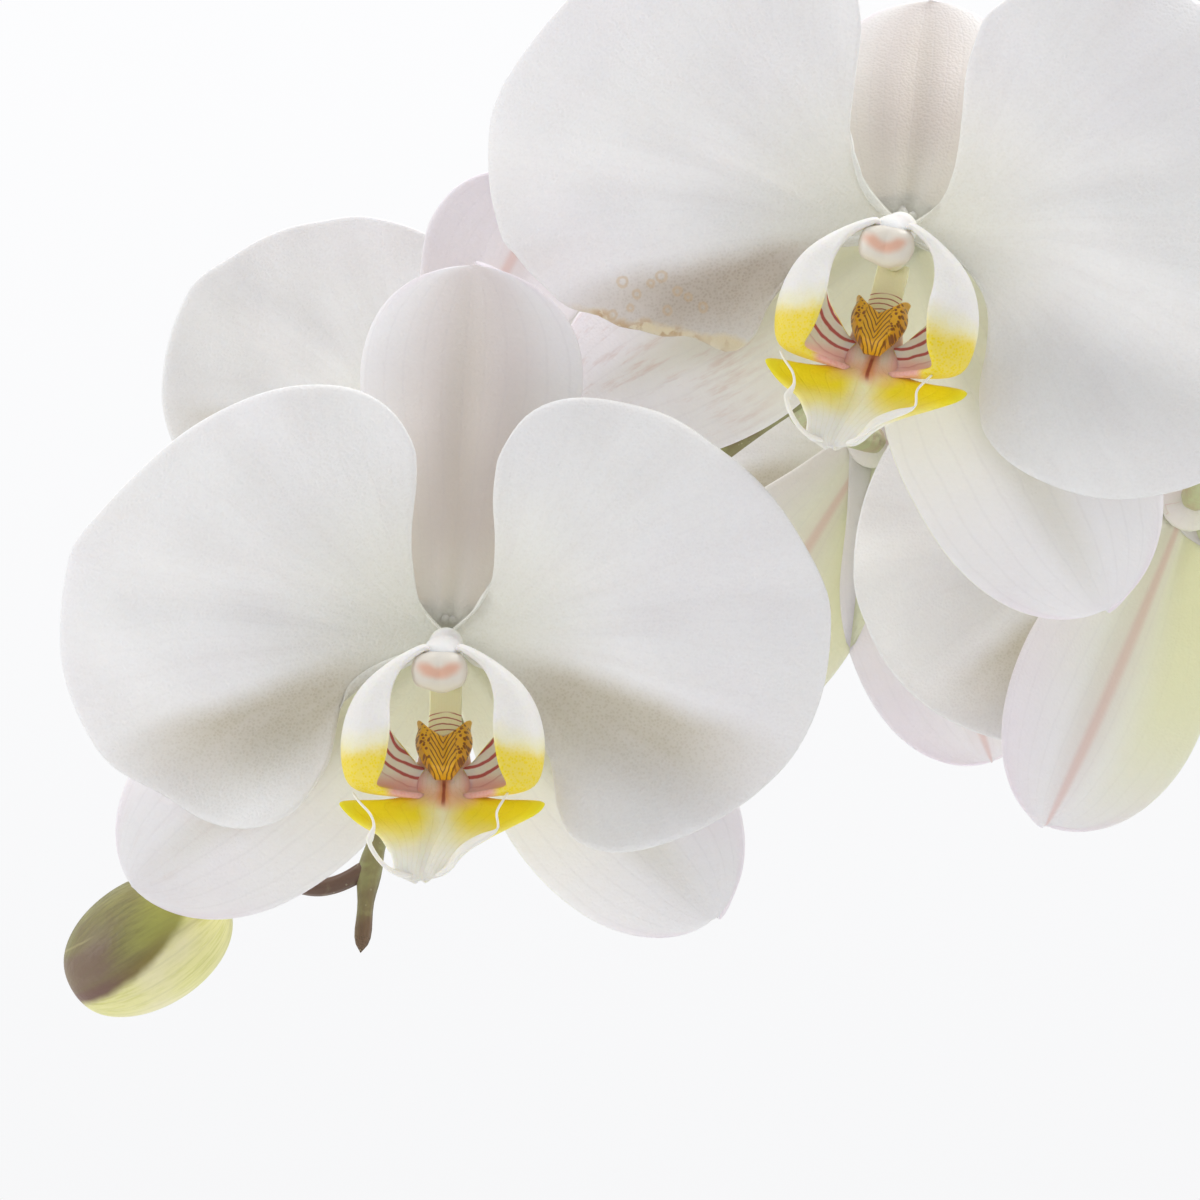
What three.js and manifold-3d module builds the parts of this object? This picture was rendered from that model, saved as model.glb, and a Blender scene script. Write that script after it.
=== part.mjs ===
// A potted moth orchid: a plain pot of bark, a crown with strap leaves and aerial roots,
// and one arching flower spike with six blooms and a bud.
// Millimetres, +Z up. The origin is the middle of the pot's base, on the surface it stands on.
// The front blooms face -Y.
import * as THREE from "three";
import { mergeVertices } from "three/addons/utils/BufferGeometryUtils.js";
import Module from "manifold-3d";

const wasm = await Module();
wasm.setup();

// Clearance between touching pieces, and the length below which edges left by fusing are merged
const GAP = 0.3;
const SLIVER = 0.05;
const LIP_SLIVER = 0.1;

// Pot and bark
const POT = {
  height: 122,
  footRadius: 46,
  bodyRadius: 61,
  rimRadius: 66,
  rimHeight: 17,
  wall: 4,
  floor: 6,
  sides: 36,
};
const BARK = { top: 108, bed: 102, sides: 24, chunks: 16, chunkSize: 22, spread: 45, tilt: 0.9, seed: 7 };

// Crown and leaves: the crown's profile is [radius, height]
const CROWN = {
  squash: 0.8,
  sides: 14,
  profile: [[0, 94], [6, 95], [9.5, 104], [9.5, 128], [8, 146], [6, 160], [0, 166]],
};
const LEAVES = [
  { name: "leaf_1", turn: 176, height: 118, length: 196, width: 74, rise: 24, droop: 34 },
  { name: "leaf_2", turn: -4, height: 122, length: 204, width: 76, rise: 26, droop: 32 },
  { name: "leaf_3", turn: 188, height: 132, length: 178, width: 70, rise: 44, droop: 22 },
  { name: "leaf_4", turn: 9, height: 137, length: 182, width: 72, rise: 47, droop: 20 },
  { name: "leaf_5", turn: 170, height: 146, length: 140, width: 58, rise: 54, droop: 0 },
  { name: "leaf_6", turn: 14, height: 157, length: 98, width: 44, rise: 72, droop: -32 },
];
const LEAF = {
  reach: 4,
  baseHalf: 8.5,
  tipHalf: 2.5,
  thickness: 2.6,
  edge: 1.1,
  baseFold: 0.85,
  bladeFold: 0.1,
  foldEnd: 0.45,
  widest: 0.6,
  rounding: 2.4,
  rows: 9,
};

// Aerial roots, from the crown outwards
const ROOT = { radius: 2.6, taper: 0.25, steps: 10, sides: 6 };
const ROOTS = [
  {
    name: "root_1",
    path: [[-3, -3, 112], [-13, -18, 120], [-28, -37, 130], [-41, -54, 128], [-49, -65, 108], [-51, -67, 78]],
  },
  { name: "root_2", path: [[3, -3, 108], [20, -12, 116], [38, -20, 122], [44, -22, 114], [44, -21, 96]] },
  {
    name: "root_3",
    path: [[2, 3, 112], [14, 20, 121], [30, 40, 130], [41, 54, 127], [47, 63, 108], [46, 64, 86]],
  },
  { name: "root_4", path: [[-3, 3, 108], [-16, 16, 117], [-32, 26, 122], [-39, 29, 113], [-39, 29, 96]] },
];

// Flower spike: its route from the crown to the tip, and its radius at both ends
const SPIKE = { baseRadius: 3.1, tipRadius: 1.15, tipFrom: 0.985, tipSwell: 0.5, sides: 6, steps: 36 };
const SPIKE_CAP = [1.8, 1.8, 3.2];
const SPIKE_ROUTE = [
  [3, -12, 104], [4, -17, 128], [6, -17.5, 165], [10, -15, 215], [15, -10, 270], [19, -6, 325],
  [19, -5, 375], [13, -5, 420], [0, -5, 453], [-19, -6, 473], [-43, -7, 481], [-70, -7, 479],
  [-97, -7, 471], [-121, -8, 459.5], [-146, -9, 439], [-164, -12, 417], [-172.5, -18, 402], [-176, -25, 391],
];
const SPIKE_NODES = [0.16, 0.33, 0.5];
const SPIKE_NODE = { length: 8, flare: 1.1, sunk: 0.9, before: 0.014 };

// A bloom in its own frame: x to the right, y up, z towards the viewer.
// Petal outlines: the inner edges from the claw up and down to the shoulders, and the margin between them.
// The right petal lies a little in front of the left one, so that their claws cross cleanly.
const PETAL = { columns: 8, rows: 3, thickness: 1, leftLift: 0.95, rightLift: 1.2 };
const PETAL_DOME = { height: 5.2, reach: 15, fallFrom: 24, fallReach: 26, fall: 4.6 };
const PETAL_FOLD = { depth: 2.4, angle: 32, width: 7, from: 6, to: 26 };
const FACE_LEFT_PETAL = {
  upper: [[1, 2.2], [-3.4, 5], [-4, 11], [-3.1, 18], [-3, 22]],
  margin: [[-3, 22], [-5.2, 26.3], [-9.9, 29.6], [-15.5, 30.5], [-21.7, 29.8], [-28.8, 27.2], [-35.5, 22.9],
    [-43.9, 14.9], [-48.2, 9.7], [-49.6, 1.1], [-48.7, -7.8], [-43.6, -17.2], [-36.7, -21], [-31, -24.2],
    [-24.8, -25.2], [-18.5, -22.9], [-14.7, -16.6]],
  lower: [[1, -2.2], [-5.9, -3.4], [-11.5, -6.4], [-13.5, -10.5], [-14.7, -16.6]],
};
const FACE_RIGHT_PETAL = {
  upper: [[-1, 2.2], [4.2, 4.6], [6.2, 8.7], [6.4, 15.8], [7.2, 21]],
  margin: [[7.2, 21], [9.6, 25.3], [12.8, 27.7], [17.6, 28.7], [23.4, 27.9], [28.9, 26.2], [33.8, 22.9],
    [38.8, 19], [43.3, 13.5], [47.8, 5], [48.4, -0.4], [47.3, -8.4], [43.8, -15.8], [38.8, -20.8],
    [34.8, -23.5], [30.3, -25.8], [23.9, -27.7], [19.4, -27.5], [16, -25.8], [14.2, -21.8]],
  lower: [[-1, -2.2], [5.5, -4.2], [8.9, -6.9], [11.4, -12.3], [13, -15.8], [14.2, -21.8]],
};
const TURNED_LEFT_PETAL = {
  upper: [[1, 2.2], [-5.4, 3.4], [-7, 8], [-6, 15.5], [-4.8, 23.2]],
  margin: [[-4.8, 23.2], [-5.6, 29], [-9, 35.5], [-16, 39.5], [-25, 39.5], [-34, 36], [-42, 30.5],
    [-48.5, 23.5], [-53, 16.5], [-54, 9.2], [-53.3, 2.8], [-50.4, -2.9], [-46.6, -7.4], [-41.5, -10.5],
    [-36.3, -13.2], [-31, -13.6], [-26.2, -14.8], [-22.6, -16.6], [-20.2, -15.8], [-18.4, -13.2]],
  lower: [[1, -2.2], [-6, -1.8], [-11, -3.6], [-15.9, -8.2], [-18.4, -13.2]],
};
const TURNED_RIGHT_PETAL = {
  upper: [[-1, 2.2], [5, 3], [7.2, 9], [8, 18.1], [10.2, 24.5]],
  margin: [[10.2, 24.5], [14.7, 27.7], [21, 29.6], [29, 29.4], [37, 26], [44, 20], [49, 11], [51, 1],
    [50.4, -9], [48, -18], [44.4, -26.5], [38, -32.6], [31.2, -34.8], [24.2, -35.2], [17.2, -33],
    [12, -29.7], [9.6, -25.9]],
  lower: [[-1, -2.2], [6, -4.2], [10, -9.8], [10.4, -15], [9.4, -21], [9.6, -25.9]],
};

// Sepals: [distance along, half-width, height of the face] from the hub to the tip
const SEPAL = { thickness: 1, columns: 2, roll: 2.4, fullHalf: 14 };
const DORSAL = [[-1, 3.6, -0.8], [8, 4.6, -1.6], [16, 8.6, -2.6], [24, 12.6, -3.2], [31, 14.6, -3],
  [37.5, 13, -2.4], [42, 8.4, -1.6], [44.6, 2.4, -1]];
const LATERAL = [[-1, 3.6, -0.8], [9, 7.6, -2.2], [19, 12.4, -3], [28, 14, -3.2], [36, 12.6, -3],
  [43, 8.8, -2.2], [48.4, 2.6, -1.2]];
const SHORT_DORSAL = [[-1, 3.6, -0.8], [6, 5, -2.2], [12, 7.6, -4.2], [18, 10, -7], [23, 10.6, -10.4],
  [27, 8.4, -13.6], [29.4, 2.4, -16]];
const LONG_LATERAL = [[-1, 3.6, -0.8], [9, 8.4, -2.2], [20, 14.2, -3], [31, 15.6, -3.2], [41, 13.4, -3],
  [49, 8.8, -2.4], [53.6, 2.6, -1.8]];
const HUB = { radius: 4.2, depth: 1.5, z: -1.7, sides: 8, rings: 4 };

// Column: [x, y, z] along its middle, with its radius at each point
const COLUMN_PATH = [[0, 0.2, 2.5], [0, -0.6, 4.8], [0, -2.6, 8], [0, -4.6, 10.8], [0, -6.2, 12.6]];
const COLUMN = { radii: [2.6, 2.9, 2.9, 3.3, 3.2, 1.1], sides: 7 };
const COLUMN_FOOT = { at: [0, -4.3, 3.5], radii: [2, 3, 1.3], sides: 6, rings: 4 };

// Lip: rows of the strap and middle lobe as [middle y, middle z, edge x, edge y, edge z]
const LIP_THICKNESS = 0.9;
const MIDDLE_LOBE = [
  [-7.8, 3.6, 1.7, -7.8, 3.6], [-12, 6.2, 1.9, -12, 6.2], [-15.4, 8, 4.2, -15.4, 7.7],
  [-19.2, 9.8, 5, -19.2, 9.7], [-20.9, 10.7, 5.2, -20.8, 10.8], [-22.4, 11.6, 12, -21.8, 12.7],
  [-24.2, 12.6, 10.8, -23.7, 13.4], [-26.2, 13.6, 7.6, -25.9, 14.1], [-28.6, 14.6, 5.2, -28.6, 14.9],
  [-32.2, 15.6, 2.6, -31.6, 15.7],
];
// Side lobe stations from the base to the tip: rear edge, outermost line, free front edge
const SIDE_LOBE = [
  { rear: [4.4, -17, 8.4], outer: [4.9, -19, 9.4], front: [5.2, -20.7, 10.6] },
  { rear: [4.8, -15.4, 7.6], outer: [8, -18.4, 9.6], front: [7.6, -19.7, 12.8] },
  { rear: [5.4, -13.4, 7.3], outer: [10.7, -17.4, 10.4], front: [9.6, -20.2, 15.2] },
  { rear: [6, -11.4, 7.3], outer: [11.7, -13.2, 11], front: [8.9, -14.8, 16.2] },
  { rear: [5.9, -9, 7.6], outer: [11.3, -9.6, 11], front: [8.5, -10.4, 15.8] },
  { rear: [5.2, -6.8, 8], outer: [8.9, -5.9, 11], front: [6.9, -6.6, 14.6] },
  { rear: [4.4, -3.9, 10.4], outer: [4.8, -3.3, 11.2], front: [4.7, -3.4, 12.2] },
];
const TENDRIL = { radius: 0.45, sides: 4, steps: 5 };
const TENDRIL_PATH = [
  [1.6, -31, 15.4], [4.8, -29.4, 17], [7.6, -26.4, 17.4], [8.4, -24, 17], [8.6, -21.8, 16.2],
];

// Callus: the outline of its face, on a plate that leans back with the strap
const CALLUS_OUTLINE = [
  [-1, -4], [1, -4], [2.7, -1.2], [3.3, 1], [3.3, 4], [2, 3], [0, 1.9], [-2, 3], [-3.3, 4], [-3.3, 1],
  [-2.7, -1.2],
];
const CALLUS = { at: [0, -15.9, 9.1], lean: -0.46, depth: 2.6, bevel: 0.5 };

// The blooms along the spike. joint is the place on the spike as a share of its length, and
// angles are in degrees: yaw turns a bloom about the vertical, pitch lowers its face, roll spins it.
// throat is the turn and the rise of the column and lip within the bloom.
const FACE_FORM = {
  left: FACE_LEFT_PETAL,
  right: FACE_RIGHT_PETAL,
  sepals: [
    { stations: DORSAL, angle: 86, size: 1 },
    { stations: LATERAL, angle: 219, size: 1.06 },
    { stations: LATERAL, angle: -47, size: 1 },
  ],
};
const NARROW_FORM = {
  left: FACE_LEFT_PETAL,
  right: FACE_RIGHT_PETAL,
  sepals: [
    { stations: DORSAL, angle: 90, size: 1 },
    { stations: LATERAL, angle: 244, size: 1.04 },
    { stations: LATERAL, angle: -64, size: 1 },
  ],
};
const TURNED_FORM = {
  left: TURNED_LEFT_PETAL,
  right: TURNED_RIGHT_PETAL,
  sepals: [
    { stations: SHORT_DORSAL, angle: 87, size: 1 },
    { stations: LATERAL, angle: 208, size: 1 },
    { stations: LONG_LATERAL, angle: -63, size: 1 },
  ],
};
const BLOOMS = [
  {
    name: "bloom_1",
    form: FACE_FORM,
    at: [-41, -20, 488],
    yaw: 8,
    pitch: 0,
    roll: -8,
    throat: [0, 0],
    size: 1.02,
    joint: 0.665,
  },
  {
    name: "bloom_2",
    form: FACE_FORM,
    at: [-64, 10, 447],
    yaw: 186,
    pitch: 4,
    roll: -18,
    throat: [0, 0],
    size: 1,
    joint: 0.715,
  },
  {
    name: "bloom_3",
    form: TURNED_FORM,
    at: [-106.9, -32, 481.7],
    yaw: -10,
    pitch: 0,
    roll: 0,
    throat: [-10, 0.8],
    size: 1.015,
    joint: 0.79,
  },
  {
    name: "bloom_4",
    form: NARROW_FORM,
    at: [-105, 38, 457],
    yaw: 174,
    pitch: 0,
    roll: 6,
    throat: [0, 0],
    size: 0.98,
    joint: 0.83,
  },
  {
    name: "bloom_5",
    form: FACE_FORM,
    at: [-165, -38, 430],
    yaw: -6,
    pitch: 0,
    roll: 0,
    throat: [0, 0],
    size: 1,
    joint: 0.925,
  },
  {
    name: "bloom_6",
    form: NARROW_FORM,
    at: [-170.4, 22, 456.6],
    yaw: 166,
    pitch: 0,
    roll: 28,
    throat: [0, 0],
    size: 0.9,
    joint: 0.89,
  },
];
const PEDICEL = { radius: 1.5, topRadius: 2, swellFrom: 0.4, sides: 6, steps: 7, reach: 13, along: 0.5 };

// Bud: an egg on its own stalk, its tip down to the left
const BUD = { at: [-204.6, -23, 388.7], radii: [8.4, 8, 11.6], joint: 0.983, sides: 12, rings: 8 };
const BUD_LEAN = 58;

const degrees = THREE.MathUtils.degToRad;
const vector = ([x, y, z]) => new THREE.Vector3(x, y, z);
const flatCurve = (points) => new THREE.SplineCurve(points.map(([x, y]) => new THREE.Vector2(x, y)));
const spaceCurve = (points) => new THREE.CatmullRomCurve3(points.map(vector), false, "centripetal");

// A solid for booleans from a closed geometry, turned to face outwards
function solidOf(geometry) {
  const bare = geometry.clone();
  bare.deleteAttribute("normal");
  bare.deleteAttribute("uv");
  const merged = mergeVertices(bare, 1e-4);
  const vertProperties = merged.attributes.position.array;
  const make = (triVerts) => new wasm.Manifold(new wasm.Mesh({ numProp: 3, vertProperties, triVerts }));
  const triangles = new Uint32Array(merged.index.array);
  const solid = make(triangles);
  if (solid.volume() > 0) return solid;
  for (let i = 0; i < triangles.length; i += 3) {
    [triangles[i], triangles[i + 1]] = [triangles[i + 1], triangles[i]];
  }
  return make(triangles);
}

function geometryOf(solid, sliver = SLIVER) {
  const mesh = solid.asOriginal().simplify(sliver).getMesh();
  const geometry = new THREE.BufferGeometry();
  geometry.setAttribute("position", new THREE.BufferAttribute(Float32Array.from(mesh.vertProperties), 3));
  geometry.setIndex(new THREE.BufferAttribute(Uint32Array.from(mesh.triVerts), 1));
  geometry.computeVertexNormals();
  return geometry;
}

// A fused solid without the small hollows that fusing sealed
const filled = (solid) => solid.decompose().reduce((a, b) => (a.volume() > b.volume() ? a : b));
const fuse = (solids) => solids.reduce((joined, solid) => joined.add(solid));

// A closed geometry from points and the four-sided or three-sided faces between them
function facesGeometry(points, faces) {
  const geometry = new THREE.BufferGeometry().setFromPoints(points);
  geometry.setIndex(faces.flatMap(([a, b, c, d]) => (d === undefined ? [a, b, c] : [a, b, c, a, c, d])));
  return geometry;
}

// A blade between a front and a back grid of points, split into triangles alike on both faces
function bladeSolid(front, back) {
  const rows = front.length;
  const columns = front[0].length;
  const offset = rows * columns;
  const at = (row, column) => row * columns + column;
  const faces = [];
  for (let row = 0; row < rows - 1; row += 1) {
    for (let column = 0; column < columns - 1; column += 1) {
      const [a, b] = [at(row, column), at(row + 1, column)];
      const [c, d] = [at(row + 1, column + 1), at(row, column + 1)];
      faces.push([a, b, c, d], [a + offset, d + offset, c + offset], [a + offset, c + offset, b + offset]);
    }
  }
  const rim = [];
  for (let row = 0; row < rows - 1; row += 1) rim.push(at(row, 0));
  for (let column = 0; column < columns - 1; column += 1) rim.push(at(rows - 1, column));
  for (let row = rows - 1; row > 0; row -= 1) rim.push(at(row, columns - 1));
  for (let column = columns - 1; column > 0; column -= 1) rim.push(at(0, column));
  rim.forEach((a, i) => {
    const b = rim[(i + 1) % rim.length];
    faces.push([b, a, a + offset, b + offset]);
  });
  return solidOf(facesGeometry([...front.flat(), ...back.flat()], faces));
}

// A tube along a curve with flat ends, its radius given by the share of the way along
function tubeSolid(curve, steps, sides, radiusAt) {
  const frames = curve.computeFrenetFrames(steps, false);
  const points = [];
  const faces = [];
  for (let step = 0; step <= steps; step += 1) {
    const middle = curve.getPointAt(step / steps);
    for (let side = 0; side < sides; side += 1) {
      const angle = (side / sides) * 2 * Math.PI;
      const out = frames.normals[step].clone().multiplyScalar(Math.cos(angle));
      out.addScaledVector(frames.binormals[step], Math.sin(angle));
      points.push(middle.clone().addScaledVector(out, radiusAt(step / steps)));
    }
  }
  for (let ring = 0; ring < steps * sides; ring += sides) {
    for (let side = 0; side < sides; side += 1) {
      const next = (side + 1) % sides;
      faces.push([ring + side, ring + next, ring + sides + next, ring + sides + side]);
    }
  }
  const first = points.push(curve.getPointAt(0)) - 1;
  const last = points.push(curve.getPointAt(1)) - 1;
  for (let side = 0; side < sides; side += 1) {
    const next = (side + 1) % sides;
    faces.push([first, next, side], [last, steps * sides + side, steps * sides + next]);
  }
  return solidOf(facesGeometry(points, faces));
}

// A grid of points from a function of the row and column, both from 0 to 1
function grid(rows, columns, pointAt) {
  return Array.from({ length: rows + 1 }, (_, row) =>
    Array.from({ length: columns + 1 }, (_, column) => pointAt(row / rows, column / columns)),
  );
}

function shifted(points, x, y, z) {
  const move = new THREE.Vector3(x, y, z);
  return points.map((line) => line.map((point) => point.clone().add(move)));
}

const smooth = (low, high, value) => THREE.MathUtils.smoothstep(value, low, high);

// Repeatable draws for the bark
function randomDraws(seed) {
  let state = seed;
  return () => {
    state = (state * 16807) % 2147483647;
    return state / 2147483647;
  };
}

// Height of a petal's face: a soft dome that falls back at the margin, with a fold below the middle
function petalHeight(x, y, lift) {
  const reach = Math.hypot(x, y);
  const dome = PETAL_DOME.height * (1 - Math.exp(-((reach / PETAL_DOME.reach) ** 2)));
  const fall = PETAL_DOME.fall * (Math.max(0, reach - PETAL_DOME.fallFrom) / PETAL_DOME.fallReach) ** 2;
  const angle = degrees(PETAL_FOLD.angle);
  const across = Math.abs(x) * Math.sin(angle) + y * Math.cos(angle);
  const nearFold = Math.exp(-((across / PETAL_FOLD.width) ** 2));
  const fold = PETAL_FOLD.depth * nearFold * smooth(PETAL_FOLD.from, PETAL_FOLD.to, reach);
  return lift + dome - fall - fold;
}

function petalSolid(outline, lift) {
  const upper = flatCurve(outline.upper);
  const lower = flatCurve(outline.lower);
  const margin = flatCurve(outline.margin);
  const shoulder = upper.getPoint(1);
  const hip = lower.getPoint(1);
  // Blends the four edges, so that the columns fan out like veins
  const front = grid(PETAL.rows, PETAL.columns, (out, fan) => {
    const flat = new THREE.Vector2()
      .addScaledVector(upper.getPointAt(out), 1 - fan)
      .addScaledVector(lower.getPointAt(out), fan)
      .addScaledVector(margin.getPointAt(fan), out)
      .addScaledVector(shoulder, -(1 - fan) * out)
      .addScaledVector(hip, -fan * out);
    return new THREE.Vector3(flat.x, flat.y, petalHeight(flat.x, flat.y, lift));
  });
  return bladeSolid(front, shifted(front, 0, 0, -PETAL.thickness));
}

function sepalSolid({ stations, angle, size }) {
  const along = new THREE.Vector3(Math.cos(degrees(angle)), Math.sin(degrees(angle)), 0);
  const side = new THREE.Vector3(-along.y, along.x, 0);
  const front = grid(stations.length - 1, SEPAL.columns, (share, across) => {
    const [distance, half, height] = stations[Math.round(share * (stations.length - 1))];
    const offset = 2 * across - 1;
    const point = along.clone().multiplyScalar(distance * size).addScaledVector(side, offset * half * size);
    point.z = height - SEPAL.roll * offset ** 2 * Math.min(1, half / SEPAL.fullHalf);
    return point;
  });
  return bladeSolid(front, shifted(front, 0, 0, -SEPAL.thickness));
}

function ellipsoidSolid([x, y, z], [a, b, c], sides, rings) {
  const geometry = new THREE.SphereGeometry(1, sides, rings);
  geometry.scale(a, b, c);
  geometry.translate(x, y, z);
  return solidOf(geometry);
}

function sepalsSolid(form) {
  const hub = ellipsoidSolid([0, 0, HUB.z], [HUB.radius, HUB.radius, HUB.depth], HUB.sides, HUB.rings);
  return fuse([hub, ...form.sepals.map(sepalSolid)]);
}

function columnSolid() {
  const radii = COLUMN.radii;
  const radiusAt = (share) => radii[Math.round(share * (radii.length - 1))];
  const body = tubeSolid(spaceCurve(COLUMN_PATH), radii.length - 1, COLUMN.sides, radiusAt);
  const foot = ellipsoidSolid(COLUMN_FOOT.at, COLUMN_FOOT.radii, COLUMN_FOOT.sides, COLUMN_FOOT.rings);
  return body.add(foot);
}

function mirrored([x, y, z], side) {
  return new THREE.Vector3(x * side, y, z);
}

function sideLobeSolid(side) {
  const front = grid(SIDE_LOBE.length - 1, 2, (share, across) => {
    const { rear, outer, front: free } = SIDE_LOBE[Math.round(share * (SIDE_LOBE.length - 1))];
    const [a, b, c] = [mirrored(rear, side), mirrored(outer, side), mirrored(free, side)];
    const control = b.clone().multiplyScalar(2).addScaledVector(a, -0.5).addScaledVector(c, -0.5);
    return new THREE.QuadraticBezierCurve3(a, control, c).getPoint(across);
  });
  return bladeSolid(front, shifted(front, -side * LIP_THICKNESS, 0, -0.2));
}

function lipSolid() {
  const middle = grid(MIDDLE_LOBE.length - 1, 2, (share, across) => {
    const [midY, midZ, edgeX, edgeY, edgeZ] = MIDDLE_LOBE[Math.round(share * (MIDDLE_LOBE.length - 1))];
    const offset = 2 * across - 1;
    const blend = offset ** 2;
    return new THREE.Vector3(offset * edgeX, midY + (edgeY - midY) * blend, midZ + (edgeZ - midZ) * blend);
  });
  const strap = bladeSolid(middle, shifted(middle, 0, 0, -LIP_THICKNESS));
  const tendrils = [-1, 1].map((side) => {
    const curve = spaceCurve(TENDRIL_PATH.map(([x, y, z]) => [x * side, y, z]));
    return tubeSolid(curve, TENDRIL.steps, TENDRIL.sides, () => TENDRIL.radius);
  });
  return fuse([strap, sideLobeSolid(-1), sideLobeSolid(1), ...tendrils]);
}

function callusGeometry() {
  const shape = new THREE.Shape(CALLUS_OUTLINE.map(([x, y]) => new THREE.Vector2(x, y)));
  const geometry = new THREE.ExtrudeGeometry(shape, {
    depth: CALLUS.depth - CALLUS.bevel,
    bevelThickness: CALLUS.bevel,
    bevelSize: CALLUS.bevel,
    bevelOffset: -CALLUS.bevel,
    bevelSegments: 1,
    steps: 1,
  });
  geometry.rotateX(CALLUS.lean);
  geometry.translate(...CALLUS.at);
  return geometryOf(solidOf(geometry));
}

function leafSolid(leaf) {
  const widthAt = (t) => {
    const swell = LEAF.baseHalf + (leaf.width / 2 - LEAF.baseHalf) * smooth(-0.1, LEAF.widest, t);
    const past = Math.max(0, (t - LEAF.widest) / (1 - LEAF.widest));
    return Math.max(LEAF.tipHalf, swell * Math.sqrt(Math.max(0, 1 - past ** LEAF.rounding)));
  };
  const angleAt = (t) => degrees(leaf.rise - (leaf.rise + leaf.droop) * t);
  const middle = [new THREE.Vector3(LEAF.reach, 0, 0)];
  for (let row = 1; row <= LEAF.rows; row += 1) {
    const angle = angleAt((row - 0.5) / LEAF.rows);
    const ahead = new THREE.Vector3(Math.cos(angle), 0, Math.sin(angle));
    middle.push(middle[row - 1].clone().addScaledVector(ahead, leaf.length / LEAF.rows));
  }
  const surface = (depthShare) =>
    grid(LEAF.rows, 4, (t, across) => {
      const offset = 2 * across - 1;
      const angle = angleAt(t);
      const up = new THREE.Vector3(-Math.sin(angle), 0, Math.cos(angle));
      const fold = LEAF.bladeFold + (LEAF.baseFold - LEAF.bladeFold) * (1 - smooth(0, LEAF.foldEnd, t));
      const thickness = LEAF.edge + (LEAF.thickness - LEAF.edge) * (1 - Math.abs(offset));
      const half = widthAt(t);
      const point = middle[Math.round(t * LEAF.rows)].clone();
      point.y += offset * half;
      return point.addScaledVector(up, fold * half * Math.abs(offset) - depthShare * thickness);
    });
  const turn = new THREE.Matrix4().makeRotationZ(degrees(leaf.turn)).setPosition(0, 0, leaf.height);
  const place = (points) => points.map((line) => line.map((p) => p.applyMatrix4(turn)));
  return bladeSolid(place(surface(0)), place(surface(1)));
}

function crownSolid(growth) {
  const profile = CROWN.profile.map(([radius, height], i, all) => {
    const lift = i === 0 ? -growth : i === all.length - 1 ? growth : 0;
    return new THREE.Vector2(radius === 0 ? 0 : radius + growth, height + lift);
  });
  const geometry = new THREE.LatheGeometry(profile, CROWN.sides);
  geometry.rotateX(Math.PI / 2);
  geometry.scale(1, CROWN.squash, 1);
  return solidOf(geometry);
}

function latheSolid(profile, segments) {
  const geometry = new THREE.LatheGeometry(profile.map(([r, z]) => new THREE.Vector2(r, z)), segments);
  geometry.rotateX(Math.PI / 2);
  return solidOf(geometry);
}

// The radius of the pot's inner wall at a height
function innerRadius(height) {
  const share = (height - POT.floor) / (POT.height - POT.rimHeight - POT.floor);
  return POT.footRadius - POT.wall + (POT.bodyRadius - POT.footRadius) * Math.min(1, share);
}

function potSolid() {
  const shoulder = POT.height - POT.rimHeight;
  const rimInner = POT.rimRadius - POT.wall;
  return latheSolid([
    [0, 0], [POT.footRadius - 2, 0], [POT.footRadius, 2], [POT.bodyRadius, shoulder],
    [POT.rimRadius, shoulder + 4], [POT.rimRadius, POT.height - 1.5], [POT.rimRadius - 1.5, POT.height],
    [rimInner + 1, POT.height], [rimInner, POT.height - 1], [rimInner, shoulder + 6],
    [innerRadius(shoulder), shoulder], [innerRadius(POT.floor), POT.floor], [0, POT.floor],
  ], POT.sides);
}

function barkSolid() {
  const bed = latheSolid([
    [0, POT.floor + GAP], [innerRadius(POT.floor) - GAP, POT.floor + GAP],
    [innerRadius(BARK.bed) - GAP, BARK.bed], [innerRadius(BARK.bed) - 6, BARK.bed + 2], [0, BARK.bed + 4],
  ], BARK.sides);
  const draw = randomDraws(BARK.seed);
  const chunks = Array.from({ length: BARK.chunks }, (_, i) => {
    const reach = BARK.spread * Math.sqrt((i + 0.5) / BARK.chunks);
    const angle = i * 2.4 + draw() * 0.4;
    const size = BARK.chunkSize * (0.75 + 0.5 * draw());
    const geometry = new THREE.BoxGeometry(size, size * 0.62, size * 0.4);
    geometry.rotateX((draw() - 0.5) * BARK.tilt);
    geometry.rotateY((draw() - 0.5) * BARK.tilt);
    geometry.rotateZ(draw() * Math.PI);
    geometry.translate(reach * Math.cos(angle), reach * Math.sin(angle), BARK.top - 4 + 3 * draw());
    return solidOf(geometry);
  });
  const wall = innerRadius(POT.height) - GAP;
  const foot = innerRadius(POT.floor) - GAP;
  const room = latheSolid([
    [0, 0], [foot, 0], [foot, POT.floor], [wall, POT.height - POT.rimHeight], [wall, POT.height],
    [0, POT.height],
  ], BARK.sides);
  return filled(fuse([bed, ...chunks]).intersect(room));
}

const spikeCurve = spaceCurve(SPIKE_ROUTE);
const spikeRadius = (share) => SPIKE.baseRadius + (SPIKE.tipRadius - SPIKE.baseRadius) * share;

function spikeTube(growth) {
  const pointed = (share) => spikeRadius(share) + growth + (share > SPIKE.tipFrom ? SPIKE.tipSwell : 0);
  return tubeSolid(spikeCurve, SPIKE.steps, SPIKE.sides, pointed);
}

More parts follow.
